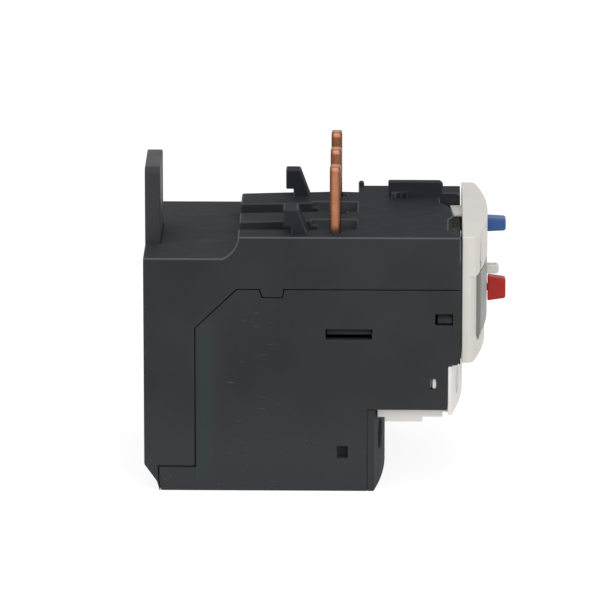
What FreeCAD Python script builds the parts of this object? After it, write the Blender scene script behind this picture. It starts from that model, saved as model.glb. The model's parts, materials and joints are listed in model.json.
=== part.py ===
import FreeCAD, Part
import math
import os
import Sketcher

# Thermal overload relay, 45 mm wide, in millimetres.
# Frame: Z = 0 is the flat base, X = 0 the middle of the width, Y = 0 the plane through
# the three power pins. The front with the buttons looks along -Y, the rear along +Y.

SIZES = {
    # housing, side profile (Y, Z)
    "side_margin": 0.75,
    "rear_y": 38.0,
    "front_y": -25.6,
    "chamfer_top_z": 5.4,
    "chamfer_low_y": 35.45,
    "chamfer_low_z": 1.9,
    "base_rear_y": 34.9,
    "rear_deck_z": 48.5,
    "deck_z": 53.0,
    "front_foot_z": 26.8,
    "throat_y": -23.0,
    "throat_z": 17.1,
    "base_front_y": -6.95,
    "wall": 2.0,
    "deck_wall": 2.5,
    # ribs and pockets of the upper deck
    "deck_step_y": -4.8,
    "deck_far_set_back": 3.8,
    "trough_front_y": -4.65,
    "trough_rear_y": 3.4,
    "trough_depth": 2.2,
    "trough_past": 1.0,
    "lens_front_y": -4.4,
    "lens_rear_y": -0.9,
    "lens_radius": 2.4,
    "lens_set_in": 2.6,
    "lens_depth": 4.6,
    "rib_foot_y": 22.2,
    "rib_top_y": 19.0,
    "rib_fillet": 5.2,
    "rib_lean": 0.45,
    "rib_fall": 0.4,
    "rib_near_past_pin": 0.4,
    "rib_before_pin": 6.4,
    "rib_mid_past_pin": 0.6,
    "rib_far_past_pin": 2.2,
    # hooks for the contactor
    "hook_heel_y": 8.45,
    "hook_nose_y": 9.95,
    "hook_nose_z": 1.4,
    "hook_height": 5.0,
    "hook_top_y": 7.04,
    "hook_toe_y": 5.05,
    "hook_near_set_in": 2.6,
    "hook_width": 5.4,
    "hook_far_set_in": 3.5,
    "hook_far_width": 3.4,
    "hook_far_lift": 0.45,
    # raised box and cut-out at the front of the deck
    "box_wide": 9.0,
    "box_deep": 1.6,
    "box_front_y": -22.1,
    "box_rear_y": -10.9,
    "box_height": 3.2,
    "box_step_height": 0.9,
    "box_corner": 1.0,
    "pad_gap": 0.6,
    "pad_long": 3.5,
    "pad_proud": 1.5,
    "pad_height": 1.2,
    "pad_slot": 0.8,
    "cutout_depth": 2.2,
    "nub_height": 1.0,
    "nub_wide": 1.15,
    "notch_wide": 1.2,
    "notch_long": 1.0,
    "notch_depth": 0.8,
    "front_room_drop": 3.1,
    "front_room_deep": 5.2,
    # side cover
    "lid_thick": 2.0,
    "lid_gap": 0.15,
    "lid_ledge": 1.1,
    "lid_top_z": 42.0,
    "lid_rear_y": 27.6,
    "lid_tail_y": 35.0,
    "lid_tail_z": 4.95,
    "lid_slope_z": 34.0,
    "lid_slope_y": 19.2,
    "lid_notch_rear_y": 14.3,
    "lid_notch_front_y": 10.0,
    "lid_notch_depth": 1.7,
    # power terminals
    "power_pitch": 14.5,
    "power_block_rear_y": 7.5,
    "power_crown": 2.1,
    "power_strip": 1.35,
    "power_chamber": 9.0,
    "power_chamber_y": -7.4,
    "power_chamber_top": 14.4,
    "power_screw_z": 9.9,
    "power_access": 6.5,
    "power_head": 6.0,
    "power_head_tall": 2.5,
    "power_shank": 4.0,
    "power_plate_y": -3.4,
    "power_plate": 1.2,
    "power_plate_width": 7.6,
    "power_strap_y": 1.4,
    "power_strap": 1.6,
    "power_strap_width": 7.0,
    "power_travel": 3.6,
    "clamp_lip": 0.5,
    # auxiliary terminals
    "aux_side_margin": 2.1,
    "aux_top_z": 26.2,
    "aux_foot_z": 16.15,
    "aux_deep_z": 14.1,
    "aux_crown": 2.2,
    "aux_strip": 0.9,
    "aux_rear_y": -8.6,
    "aux_chamber": 7.4,
    "aux_chamber_y": -22.4,
    "aux_chamber_top": 25.2,
    "aux_screw_z": 21.4,
    "aux_access": 5.4,
    "aux_head": 5.0,
    "aux_head_tall": 2.2,
    "aux_shank": 3.5,
    "aux_plate_y": -18.9,
    "aux_plate": 1.0,
    "aux_plate_width": 6.2,
    "aux_strap_y": -14.6,
    "aux_strap": 1.0,
    "aux_strap_width": 6.0,
    "aux_travel": 3.2,
    # front cover
    "cover_set_in": 0.8,
    "cover_shoulder_in": 1.5,
    "cover_shoulder_y": -28.9,
    "cover_side_y": -27.6,
    "cover_corner": 1.75,
    "cover_sagitta": 2.2,
    "cover_gap": 0.3,
    "forehead_z": 44.6,
    "forehead_proud": 0.5,
    "cover_skin": 1.3,
    "cover_divide_x": 4.6,
    "tongue_near_x": 1.5,
    "tongue_gap": 0.3,
    "tongue_long": 2.1,
    "tongue_skew": 0.7,
    "tongue_thick": 0.5,
    "leg_wide": 2.4,
    "leg_tall": 1.8,
    "leg_set_in": 3.0,
    "leg_low_z": 29.4,
    "leg_high_z": 46.8,
    "leg_clear": 0.05,
    # flap, dial and seal lug
    "flap_low_z": 31.5,
    "flap_high_z": 44.3,
    "flap_edge_x": 3.0,
    "flap_thick": 0.9,
    "flap_clear": 0.3,
    "flap_hinge_in": 4.6,
    "flap_hinge_y": -28.95,
    "flap_knuckle": 0.75,
    "flap_pin": 0.45,
    "flap_pin_out": 0.9,
    "lug_x": 1.2,
    "lug_z": 40.3,
    "lug_side": 1.9,
    "lug_round": 0.75,
    "lug_tip_y": -33.5,
    "lug_hole": 0.3,
    "dial_set_in": 12.0,
    "dial_z": 38.7,
    "dial_radius": 5.0,
    "dial_front_y": -28.5,
    "dial_thick": 1.9,
    "dial_shaft": 1.5,
    "dial_tail_y": -17.5,
    "dial_cam": 3.0,
    "dial_cam_offset": 0.8,
    "blade_slot": 0.9,
    # buttons
    "button_set_in": 12.5,
    "reset_z": 47.45,
    "reset_radius": 3.6,
    "reset_front_y": -30.5,
    "reset_disc": 1.3,
    "reset_grip_y": -34.95,
    "reset_grip_wide": 3.5,
    "reset_grip_tall": 2.9,
    "reset_grip_taper": 0.2,
    "reset_floor_y": -27.2,
    "reset_stem": 1.6,
    "reset_spigot": 1.2,
    "reset_end_y": -14.0,
    "reset_travel": 1.5,
    "stop_z": 33.85,
    "stop_wide": 2.6,
    "stop_tall": 5.2,
    "stop_tip_y": -35.0,
    "stop_back_y": -31.3,
    "stop_taper": 0.47,
    "stop_floor_y": -28.8,
    "stop_stem": 0.7,
    "stop_travel": 1.5,
    "test_z": 41.0,
    "test_radius": 1.5,
    "test_front_y": -30.9,
    "test_cap": 1.5,
    "test_floor_y": -27.6,
    "test_stem": 0.7,
    "test_travel": 1.2,
    "stem_end_y": -15.0,
    "collar_gap": 0.2,
    "collar_thick": 0.7,
    "collar_extra": 0.5,
    "slide_clear": 0.06,
    "well_clear": 0.35,
    "spring_wire": 0.4,
    # phase pins, bimetal strips and heaters
    "pin_pitch_less": 0.5,
    "pin_mid_x": -2.8,
    "pin_wide": 3.6,
    "pin_thick": 2.2,
    "pin_y": -0.4,
    "pin_top_z": 66.4,
    "pin_round": 1.0,
    "pin_clear": 0.1,
    "pin_foot_z": 43.0,
    "pin_tab": 1.2,
    "heater_y": 10.8,
    "heater_deep": 8.4,
    "heater_wide": 4.4,
    "heater_low_z": 21.0,
    "heater_high_z": 33.8,
    "heater_turn": 1.1,
    "heater_turn_pitch": 2.1,
    "heater_turn_out": 0.35,
    "bimetal_thick": 1.0,
    "bimetal_wide": 6.0,
    "bimetal_y": 12.0,
    "bimetal_top_z": 40.6,
    # differential bars, compensating strip and latch
    "bar_y": 20.5,
    "bar_deep": 2.0,
    "bar_tall": 2.0,
    "shift_bar_z": 35.2,
    "return_bar_z": 38.2,
    "bar_near_over": 3.5,
    "bar_far_over": 1.3,
    "bar_finger": 1.0,
    "bar_touch": 0.3,
    "bar_travel": 2.0,
    "stud_set_in": 3.5,
    "stud_radius": 0.6,
    "lever_thick": 1.4,
    "strip_set_in": 3.4,
    "strip_thick": 0.8,
    "strip_low_z": 37.6,
    "strip_high_z": 41.2,
    "strip_front_y": -7.3,
    "strip_rear_y": 24.4,
    "strip_pivot_y": 6.0,
    "pivot_radius": 0.75,
    "pivot_hub": 1.5,
    "touch_gap": 0.3,
    "latch_set_in": 4.4,
    "latch_z": 45.0,
    "latch_pin": 0.8,
    "latch_y": -7.5,
    "latch_thick": 1.5,
    "latch_room": 1.3,
    # contacts and their carrier
    "carrier_y": -9.2,
    "carrier_thick": 1.4,
    "carrier_low_z": 29.0,
    "carrier_high_z": 38.8,
    "post_tall": 3.6,
    "carrier_gap": 0.2,
    "carrier_travel": 1.3,
    "post_wide": 2.0,
    "contact_z": 31.0,
    "contact_strip": 1.0,
    "contact_side": 2.6,
    "contact_tall": 0.6,
    "bridge_thick": 0.9,
    "bridge_deep": 3.2,
    "flag_set_in": 6.1,
    "flag_wide": 2.8,
    "flag_arm": 1.5,
    "flag_low_z": 37.2,
    "flag_tall": 5.4,
    "flag_face_y": -28.9,
    "flag_thick": 0.8,
    # rear tab
    "tab_off_centre": -0.05,
    "tab_wide": 16.3,
    "tab_thick": 3.1,
    "tab_top_z": 64.2,
    "tab_root": 3.0,
    "tab_corner": 1.5,
}


class Length:
    """A length from the sheet, or one worked out from several, with its formula."""

    def __init__(self, value, formula):
        self.value = float(value)
        self.formula = formula

    def __add__(self, other):
        other = length(other)
        return Length(self.value + other.value, f"({self.formula} + {other.formula})")

    def __sub__(self, other):
        other = length(other)
        return Length(self.value - other.value, f"({self.formula} - {other.formula})")

    def __mul__(self, other):
        other = length(other)
        return Length(self.value * other.value, f"({self.formula} * {other.formula})")

    def __truediv__(self, other):
        other = length(other)
        return Length(self.value / other.value, f"({self.formula} / {other.formula})")

    def __radd__(self, other):
        return length(other) + self

    def __rsub__(self, other):
        return length(other) - self

    def __rmul__(self, other):
        return length(other) * self

    def __neg__(self):
        return length(0) - self

    def root(self):
        return Length(math.sqrt(self.value), f"sqrt({self.formula})")


def length(item):
    """A plain number or a Length, as a Length."""
    if isinstance(item, Length):
        return item
    return Length(item, f"({float(item)!r})")


class Sheet:
    """The driving sizes, one spreadsheet cell and one attribute each."""


doc = FreeCAD.newDocument("thermal_overload_relay")
cells = doc.addObject("Spreadsheet::Sheet", "Sizes")
size = Sheet()
for row, (alias, number) in enumerate(SIZES.items(), start=1):
    cells.set(f"A{row}", alias)
    cells.set(f"B{row}", str(number))
    cells.setAlias(f"B{row}", alias)
    setattr(size, alias, Length(number, f"Sizes.{alias}"))
doc.recompute()

# Levels that several pieces share
half = size.power_pitch * 1.5 + size.side_margin
lid_in = size.lid_thick - half
far_in = half - size.wall
deck_far_x = half - size.deck_far_set_back
box_x = deck_far_x - size.box_wide
aux_pitch = (half - size.aux_side_margin) / 2
cover_half = half - size.cover_set_in
shoulder_x = cover_half - size.cover_shoulder_in
flap_hinge_x = size.flap_hinge_in - cover_half
dial_x = size.dial_set_in - half
button_x = half - size.button_set_in
pin_pitch = size.power_pitch - size.pin_pitch_less
strip_x = far_in - size.strip_set_in
stud_x = strip_x - size.stud_set_in
latch_x = strip_x - size.latch_set_in
flag_x = half - size.flag_set_in
tab_x = size.pin_mid_x + size.tab_off_centre - size.tab_wide / 2
cavity_rear = size.rear_y - size.wall - 0.2
cavity_top = size.rear_deck_z - size.deck_wall
slab_under = size.deck_z - size.deck_wall
wall_in_y = size.front_y + size.wall
cover_back = size.front_y - size.cover_gap
PAST = 3.0


# ---------------------------------------------------------------- drawing helpers

def bind(thing, field, amount):
    """Tie a property to its formula in the sheet."""
    thing.setExpression(field, length(amount).formula)


def new_body(label, x=0, y=0, z=0):
    """A sub-part of its own, placed at x, y, z."""
    body = doc.addObject("PartDesign::Body", label)
    body.Label = label
    for axis, amount in (("x", x), ("y", y), ("z", z)):
        bind(body, f"Placement.Base.{axis}", amount)
    return body


def new_sketch(body, name, plane, level):
    """An empty sketch on an origin plane, moved along that plane's normal."""
    drawing = body.newObject("Sketcher::SketchObject", name)
    support = [face for face in body.Origin.OriginFeatures if face.Role == plane][0]
    drawing.AttachmentSupport = [(support, "")]
    drawing.MapMode = "FlatFace"
    bind(drawing, "AttachmentOffset.Base.z", level)
    return drawing


def pin_point(drawing, edge, end, x, y):
    """Fix one point of an edge by its two coordinates."""
    for kind, amount in (("DistanceX", x), ("DistanceY", y)):
        amount = length(amount)
        rule = Sketcher.Constraint(kind, -1, 1, edge, end, amount.value)
        index = drawing.addConstraint(rule)
        drawing.setExpression(f"Constraints[{index}]", amount.formula)


def fix_radius(drawing, edge, radius):
    """Fix the radius of a circle or an arc."""
    index = drawing.addConstraint(Sketcher.Constraint("Radius", edge, radius.value))
    drawing.setExpression(f"Constraints[{index}]", radius.formula)


def arc_between(start, end, radius, turn):
    """An arc shorter than half a circle; turn is 1 for anticlockwise, -1 for clockwise."""
    chord = end - start
    middle = (start + end) * 0.5
    left = FreeCAD.Vector(-chord.y, chord.x, 0).normalize()
    reach = math.sqrt(max(radius * radius - chord.Length ** 2 / 4, 0))
    centre = middle + left * (reach * turn)
    first, last = (start, end) if turn > 0 else (end, start)
    angles = [math.atan2(p.y - centre.y, p.x - centre.x) for p in (first, last)]
    if angles[1] < angles[0]:
        angles[1] += 2 * math.pi
    circle = Part.Circle(centre, FreeCAD.Vector(0, 0, 1), radius)
    return Part.ArcOfCircle(circle, angles[0], angles[1])


def outline(points, arcs=None):
    """A closed loop; arcs maps a point's number to (radius, turn) of the edge after it."""
    arcs = arcs or {}

    def draw(drawing):
        spots = [FreeCAD.Vector(length(x).value, length(y).value, 0) for x, y in points]
        heads, tails, edges = [], [], []
        for number, start in enumerate(spots):
            end = spots[(number + 1) % len(spots)]
            if number in arcs:
                radius, turn = arcs[number]
                edge = drawing.addGeometry(arc_between(start, end, length(radius).value, turn), False)
                heads.append(1 if turn > 0 else 2)
                tails.append(2 if turn > 0 else 1)
            else:
                edge = drawing.addGeometry(Part.LineSegment(start, end), False)
                heads.append(1)
                tails.append(2)
            edges.append(edge)
        for number, edge in enumerate(edges):
            after = (number + 1) % len(edges)
            meet = Sketcher.Constraint("Coincident", edge, tails[number], edges[after], heads[after])
            drawing.addConstraint(meet)
            pin_point(drawing, edge, heads[number], *points[number])
            if number in arcs:
                fix_radius(drawing, edge, length(arcs[number][0]))

    return draw


def rectangle(x_low, x_high, y_low, y_high):
    """A plain rectangle."""
    return outline([(x_low, y_low), (x_high, y_low), (x_high, y_high), (x_low, y_high)])


def around(x, y, wide, tall):
    """A rectangle by its centre."""
    x, y, wide, tall = (length(item) for item in (x, y, wide, tall))
    return rectangle(x - wide / 2, x + wide / 2, y - tall / 2, y + tall / 2)


def rounded(x_low, x_high, y_low, y_high, radius):
    """A rectangle with four round corners."""
    x_low, x_high, y_low, y_high = (length(item) for item in (x_low, x_high, y_low, y_high))
    points = [
        (x_low + radius, y_low), (x_high - radius, y_low),
        (x_high, y_low + radius), (x_high, y_high - radius),
        (x_high - radius, y_high), (x_low + radius, y_high),
        (x_low, y_high - radius), (x_low, y_low + radius),
    ]
    return outline(points, {corner: (radius, 1) for corner in (1, 3, 5, 7)})


def disc(x, y, radius):
    """A full circle."""
    def draw(drawing):
        x_at, y_at, reach = length(x), length(y), length(radius)
        centre = FreeCAD.Vector(x_at.value, y_at.value, 0)
        edge = drawing.addGeometry(Part.Circle(centre, FreeCAD.Vector(0, 0, 1), reach.value), False)
        pin_point(drawing, edge, 3, x_at, y_at)
        fix_radius(drawing, edge, reach)

    return draw


def pad(body, name, plane, low, high, *loops):
    """Solid between two levels. The XZ plane looks along -Y, so there the sketch lies at high."""
    low, high = length(low), length(high)
    level = -high if plane == "XZ_Plane" else low
    drawing = new_sketch(body, f"{name}_outline", plane, level)
    for loop in loops:
        loop(drawing)
    feature = body.newObject("PartDesign::Pad", name)
    feature.Profile = drawing
    bind(feature, "Length", high - low)
    return feature


def pocket(body, name, plane, low, high, *loops):
    """Cut between two levels. A pocket cuts against its sketch's normal."""
    low, high = length(low), length(high)
    level = -low if plane == "XZ_Plane" else high
    drawing = new_sketch(body, f"{name}_outline", plane, level)
    for loop in loops:
        loop(drawing)
    feature = body.newObject("PartDesign::Pocket", name)
    feature.Profile = drawing
    bind(feature, "Length", high - low)
    return feature


def revolve(body, name, points, arcs=None):
    """Turn a profile of (radius, Y) points about the body's Y axis."""
    drawing = new_sketch(body, f"{name}_profile", "XY_Plane", 0)
    outline(points, arcs)(drawing)
    feature = body.newObject("PartDesign::Revolution", name)
    feature.Profile = drawing
    feature.ReferenceAxis = (drawing, ["V_Axis"])
    feature.Angle = 360
    return feature


# ---------------------------------------------------------------- shared outlines

def lid_outline(gap):
    """Edge of the side cover in (Y, Z), grown by gap; the base and front edges stay put."""
    grow = length(gap)
    return [
        (size.lid_tail_y - 0.4 + grow, 0 - grow),
        (size.lid_tail_y + grow, size.chamfer_low_z),
        (size.lid_tail_y + grow, size.lid_tail_z + grow),
        (size.lid_rear_y + grow, size.lid_tail_z + grow),
        (size.lid_rear_y + grow, size.lid_slope_z),
        (size.lid_slope_y + grow, size.lid_top_z + grow),
        (size.lid_notch_rear_y + 0.5 - grow, size.lid_top_z + grow),
        (size.lid_notch_rear_y - grow, size.lid_top_z - size.lid_notch_depth + grow),
        (size.lid_notch_front_y + grow, size.lid_top_z - size.lid_notch_depth + grow),
        (size.lid_notch_front_y - 0.3 + grow, size.lid_top_z + grow),
        (size.front_y - grow, size.lid_top_z + grow),
        (size.front_y - grow, size.front_foot_z + 0.8),
        (size.front_y + 0.6 - grow, size.front_foot_z - 0.3),
        (size.throat_y - grow, size.front_foot_z - 0.4),
        (size.throat_y - grow, size.throat_z - grow),
        (size.base_front_y - grow, size.throat_z - grow),
        (size.base_front_y - grow, 0 - grow),
    ]


crown_radius = (shoulder_x * shoulder_x
                + size.cover_sagitta * size.cover_sagitta) / (size.cover_sagitta * 2)
crown_centre = size.cover_shoulder_y - size.cover_sagitta + crown_radius


def crown_y(x, inset):
    """Y of the crowned front at x, inset behind the forehead."""
    reach = crown_radius - inset
    x = length(x)
    return crown_centre - (reach * reach - x * x).root()


def crowned_plan(half_width, back, side, sagitta):
    """Plan of a block whose front is one shallow arc."""
    radius = (half_width * half_width + sagitta * sagitta) / (sagitta * 2)
    points = [(-half_width, back), (-half_width, side), (half_width, side), (half_width, back)]
    return outline(points, {1: (radius, 1)})


def cover_plan(inset):
    """Plan of the front cover: shallow arc, rounded shoulders, flat back."""
    shoulder = crown_y(shoulder_x, inset)
    side = size.cover_side_y + inset
    points = [
        (-cover_half, cover_back), (-cover_half, side),
        (-shoulder_x, shoulder), (shoulder_x, shoulder),
        (cover_half, side), (cover_half, cover_back),
    ]
    arcs = {1: (size.cover_corner, 1), 2: (crown_radius - inset, 1), 3: (size.cover_corner, 1)}
    return outline(points, arcs)


def pin_x(number):
    """Middle of phase pin 0, 1 or 2."""
    return size.pin_mid_x + pin_pitch * (number - 1)


def power_x(number):
    """Middle of power terminal 0, 1 or 2."""
    return size.power_pitch * (number - 1)


def aux_x(number):
    """Middle of auxiliary terminal 0 to 3."""
    return aux_pitch * (number - 1.5)


# ---------------------------------------------------------------- main housing

def housing_deck(body):
    """Upper deck: slab, three ribs, concave troughs beside the pins."""
    rib_far_end = pin_x(2) + size.rib_far_past_pin
    inside = size.trough_rear_y - 1
    plan = [
        (-half, size.front_y), (deck_far_x, size.front_y),
        (deck_far_x, size.deck_step_y), (rib_far_end, size.deck_step_y),
        (rib_far_end, size.trough_rear_y), (-half, size.trough_rear_y),
    ]
    pad(body, "deck_slab", "XY_Plane", cavity_top, size.deck_z, outline(plan))
    near_rib = [
        (inside, cavity_top), (size.rib_foot_y, cavity_top), (size.rib_foot_y, size.rear_deck_z),
        (size.rib_top_y, size.deck_z), (inside, size.deck_z),
    ]
    steep_foot = size.rib_top_y + size.rib_lean
    steep_rib = [
        (inside, cavity_top), (steep_foot, cavity_top), (steep_foot, size.rear_deck_z),
        (size.rib_top_y, size.deck_z - size.rib_fall), (size.trough_rear_y, size.deck_z), (inside, size.deck_z),
    ]
    near_end = pin_x(0) + size.rib_near_past_pin
    middle = (pin_x(1) - size.rib_before_pin, pin_x(1) + size.rib_mid_past_pin)
    far_start = pin_x(2) - size.rib_before_pin
    pad(body, "near_rib", "YZ_Plane", -half, near_end, outline(near_rib, {2: (size.rib_fillet, -1)}))
    pad(body, "middle_rib", "YZ_Plane", *middle, outline(steep_rib))
    pad(body, "far_rib", "YZ_Plane", far_start, rib_far_end, outline(steep_rib))
    for start, end in ((near_end, middle[0] + size.trough_past), (middle[1], far_start + size.trough_past)):
        half_wide = (end - start) / 2
        reach = (half_wide * half_wide + size.trough_depth * size.trough_depth) / (size.trough_depth * 2)
        pocket(body, "trough", "XZ_Plane", size.trough_front_y, size.trough_rear_y + 1,
               disc(start + half_wide, size.deck_z - size.trough_depth + reach, reach))
        lens_x = start + size.lens_set_in
        pocket(body, "lens_hole", "XY_Plane", size.deck_z - size.lens_depth, size.deck_z,
               outline([(lens_x, size.lens_front_y), (lens_x, size.lens_rear_y)],
                       {0: (size.lens_radius, 1), 1: (size.lens_radius, 1)}))
    notch_y = size.pin_y - size.pin_thick / 2 - size.notch_long / 2
    notches = [around(pin_x(number), notch_y, size.notch_wide, size.notch_long) for number in range(3)]
    pocket(body, "pin_notches", "XY_Plane", size.deck_z - size.notch_depth, size.deck_z + 1, *notches)


def housing_top_details(body):
    """Hooks for the contactor, raised wall, nub and the cut-out behind the front cover."""
    deck = size.deck_z
    near = size.hook_near_set_in - half
    far = pin_x(2) + size.rib_far_past_pin - size.hook_far_set_in
    for start, width, lift in ((near, size.hook_width, 0), (far, size.hook_far_width, size.hook_far_lift)):
        top = deck + size.hook_height + lift
        hook = [
            (size.hook_toe_y, deck - 1), (size.hook_heel_y, deck - 1),
            (size.hook_heel_y, deck + size.hook_nose_z), (size.hook_nose_y, deck + size.hook_nose_z),
            (size.hook_nose_y, top), (size.hook_top_y, top), (size.hook_toe_y, deck),
        ]
        pad(body, "hook", "YZ_Plane", start, start + width, outline(hook))
    step_top = deck + size.box_step_height
    box_top = deck + size.box_height
    wall = [
        (size.front_y, deck - 1), (size.box_rear_y, deck - 1), (size.box_rear_y, box_top),
        (size.box_front_y + size.box_corner, box_top), (size.box_front_y, box_top - size.box_corner),
        (size.box_front_y, step_top), (size.front_y + size.box_corner, step_top),
        (size.front_y, step_top - size.box_corner),
    ]
    corners = {3: (size.box_corner, 1), 6: (size.box_corner, 1)}
    pad(body, "raised_wall", "YZ_Plane", box_x, box_x + size.box_deep, outline(wall, corners))
    pad_rear = size.box_rear_y - size.pad_gap
    pad(body, "low_block", "XY_Plane", deck - 1, deck + size.pad_height,
        rectangle(box_x - size.pad_proud, box_x + 0.5, pad_rear - size.pad_long, pad_rear))
    slot_x = box_x - size.pad_proud
    slots = [around(slot_x, pad_rear - size.pad_long * place, size.pad_slot * 1.5, size.pad_slot)
             for place in (0.4, 0.75)]
    pocket(body, "block_slots", "XY_Plane", deck, deck + size.pad_height + 1, *slots)
    fin_foot = deck + size.nub_height / 2
    fin = [
        (size.deck_step_y - size.nub_wide, deck - 1), (size.deck_step_y, deck - 1),
        (size.deck_step_y, fin_foot), (size.deck_step_y - size.nub_wide, fin_foot),
    ]
    pad(body, "nub", "YZ_Plane", deck_far_x - 1, deck_far_x, outline(fin, {2: (size.nub_wide / 2, 1)}))
    cut = [
        (-20.4, size.front_y - 1), (-20.2, size.front_y + 0.5), (-16.8, size.front_y + 2.5),
        (-7.9, size.front_y + 2.4),
        (-5.5, size.front_y + 1.4), (-1.9, size.front_y + 1.6), (2.9, size.front_y + 2.7),
        (5.3, size.front_y + 4.1), (box_x, size.front_y + 4.1), (box_x, size.front_y - 1),
    ]
    pocket(body, "deck_cutout", "XY_Plane", deck - size.cutout_depth, deck + 1, outline(cut))


def housing_hollow(body):
    """Inside: the side cover's recess, its ledge, and the room for the works and terminals."""
    recess = lid_outline(size.lid_gap)
    pocket(body, "lid_recess", "YZ_Plane", -half - 1, lid_in, outline(recess))
    bay = [
        (wall_in_y, size.aux_top_z + 0.2), (size.front_y - PAST, size.aux_top_z + 0.2),
        (size.front_y - PAST, -PAST), (size.power_block_rear_y, -PAST),
        (size.power_block_rear_y, size.wall),
    ]
    ledge_rear = size.lid_rear_y - size.lid_ledge
    ledge_top = size.lid_top_z - size.lid_ledge
    notch = ledge_top - size.lid_notch_depth
    mouth = bay + [
        (ledge_rear, size.wall), (ledge_rear, size.lid_slope_z - 0.5),
        (size.lid_slope_y - 0.5, notch), (wall_in_y, notch),
    ]
    pocket(body, "lid_mouth", "YZ_Plane", lid_in - 1, lid_in + size.lid_ledge, outline(mouth))
    inner = lid_in + size.lid_ledge / 2
    latch_roof = cavity_top + size.latch_room
    room = bay + [
        (cavity_rear, size.wall), (cavity_rear, cavity_top), (size.deck_step_y, cavity_top),
        (size.deck_step_y, latch_roof), (wall_in_y, latch_roof),
    ]
    pocket(body, "works_room", "YZ_Plane", inner, far_in, outline(room))
    front_room_y = size.front_y + size.front_room_deep
    front_top = size.deck_z - size.front_room_drop
    upper_room = [
        (wall_in_y, cavity_top - 1), (size.deck_step_y, cavity_top - 1), (size.deck_step_y, slab_under),
        (front_room_y, slab_under), (front_room_y, front_top), (wall_in_y, front_top),
    ]
    pocket(body, "upper_room", "YZ_Plane", inner, deck_far_x - size.wall, outline(upper_room))


def housing_openings(body):
    """Holes in the front wall and the deck, slot for the rear tab, snap hook for the lid."""
    holes = [
        disc(button_x, size.reset_z, size.reset_stem + size.slide_clear),
        disc(button_x, size.stop_z, size.stop_stem + size.slide_clear),
        disc(button_x, size.test_z, size.test_stem + size.slide_clear),
        disc(dial_x, size.dial_z, size.dial_shaft + size.slide_clear),
        rectangle(flag_x - size.flag_arm / 2 - 0.3, flag_x + size.flag_arm / 2 + 0.3,
                  size.flag_low_z - size.carrier_travel - 0.3, size.flag_low_z + size.flag_arm + 0.3),
    ]
    for side in (-1, 1):
        for level in (size.leg_low_z, size.leg_high_z):
            holes.append(around((cover_half - size.leg_set_in) * side, level, size.leg_wide + size.leg_clear * 2,
                                size.leg_tall + size.leg_clear * 2))
    pocket(body, "front_wall_holes", "XZ_Plane", size.front_y - 1, wall_in_y + 0.5, *holes)
    slots = [around(pin_x(number), size.pin_y, size.pin_wide + size.pin_clear * 2,
                    size.pin_thick + size.pin_clear * 2) for number in range(3)]
    pocket(body, "pin_slots", "XY_Plane", cavity_top - 1, size.deck_z + 1, *slots)
    pocket(body, "tab_slot", "XY_Plane", size.rear_deck_z - size.tab_root, size.rear_deck_z + 1,
           rectangle(tab_x - size.pin_clear, tab_x + size.tab_wide + size.pin_clear,
                     size.rear_y - size.tab_thick, size.rear_y + 1))
    pad(body, "carrier_guide", "YZ_Plane", far_in - 2, far_in + 0.5,
        rectangle(size.carrier_y + size.carrier_thick + size.carrier_gap, size.latch_y + 2.3,
                  size.carrier_low_z - 1, size.strip_low_z - 2.5))
    pad(body, "pivot_boss", "YZ_Plane", strip_x + size.strip_thick / 2 - 1.6, far_in + 0.5,
        rectangle(size.strip_pivot_y - 2, size.strip_pivot_y + 2,
                  size.strip_low_z - 3.2, size.strip_low_z - 0.2))
    pocket(body, "pivot_hole", "XY_Plane", size.strip_low_z - 3, size.strip_low_z,
           disc(strip_x + size.strip_thick / 2, size.strip_pivot_y, size.pivot_radius))
    pocket(body, "latch_pin_hole", "XZ_Plane", wall_in_y - 1.2, wall_in_y + 0.5,
           disc(latch_x, size.latch_z, size.latch_pin))


def main_housing():
    """Moulded housing, open on the left side, closed on the right."""
    body = new_body("main_housing")
    side = [
        (size.base_rear_y, 0), (size.chamfer_low_y, size.chamfer_low_z), (size.rear_y, size.chamfer_top_z),
        (size.rear_y, size.rear_deck_z), (size.front_y, size.rear_deck_z),
        (size.front_y, size.front_foot_z), (size.throat_y, size.front_foot_z - 0.4),
        (size.throat_y, size.throat_z), (size.base_front_y, size.throat_z), (size.base_front_y, 0),
    ]
    pad(body, "side_profile", "YZ_Plane", -half, half, outline(side))
    housing_deck(body)
    housing_top_details(body)
    housing_hollow(body)
    housing_openings(body)


def rear_tab():
    """Upright plate at the rear that steadies the relay against the contactor."""
    body = new_body("rear_tab")
    front = size.rear_y - size.tab_thick
    points = [
        (tab_x, size.rear_deck_z - size.tab_root),
        (tab_x + size.tab_wide, size.rear_deck_z - size.tab_root),
        (tab_x + size.tab_wide, size.tab_top_z - size.tab_corner),
        (tab_x + size.tab_wide - size.tab_corner, size.tab_top_z),
        (tab_x + size.tab_corner, size.tab_top_z),
        (tab_x, size.tab_top_z - size.tab_corner),
    ]
    arcs = {2: (size.tab_corner, 1), 4: (size.tab_corner, 1)}
    pad(body, "plate", "XZ_Plane", front, size.rear_y, outline(points, arcs))


# ---------------------------------------------------------------- side cover

def side_cover():
    """Flat lid on the left side, with four catch windows."""
    body = new_body("side_cover")
    pad(body, "plate", "YZ_Plane", -half, lid_in, outline(lid_outline(0)))
    windows = [
        rectangle(-7.9, 1.45, size.lid_top_z - 10.3, size.lid_top_z - 8.1),
        rectangle(size.front_y + 1.5, size.front_y + 5.1, size.lid_top_z - 7.25, size.lid_top_z - 4.9),
        rectangle(size.front_y + 4.7, size.front_y + 6.0, size.throat_z + 4.3, size.throat_z + 6.5),
        rectangle(size.base_front_y + 3.95, size.base_front_y + 6.05, size.power_screw_z - 2.95,
                  size.power_screw_z - 0.5),
    ]
    pocket(body, "catch_windows", "YZ_Plane", -half - 1, lid_in + 1, *windows)


# ---------------------------------------------------------------- terminal blocks

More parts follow.
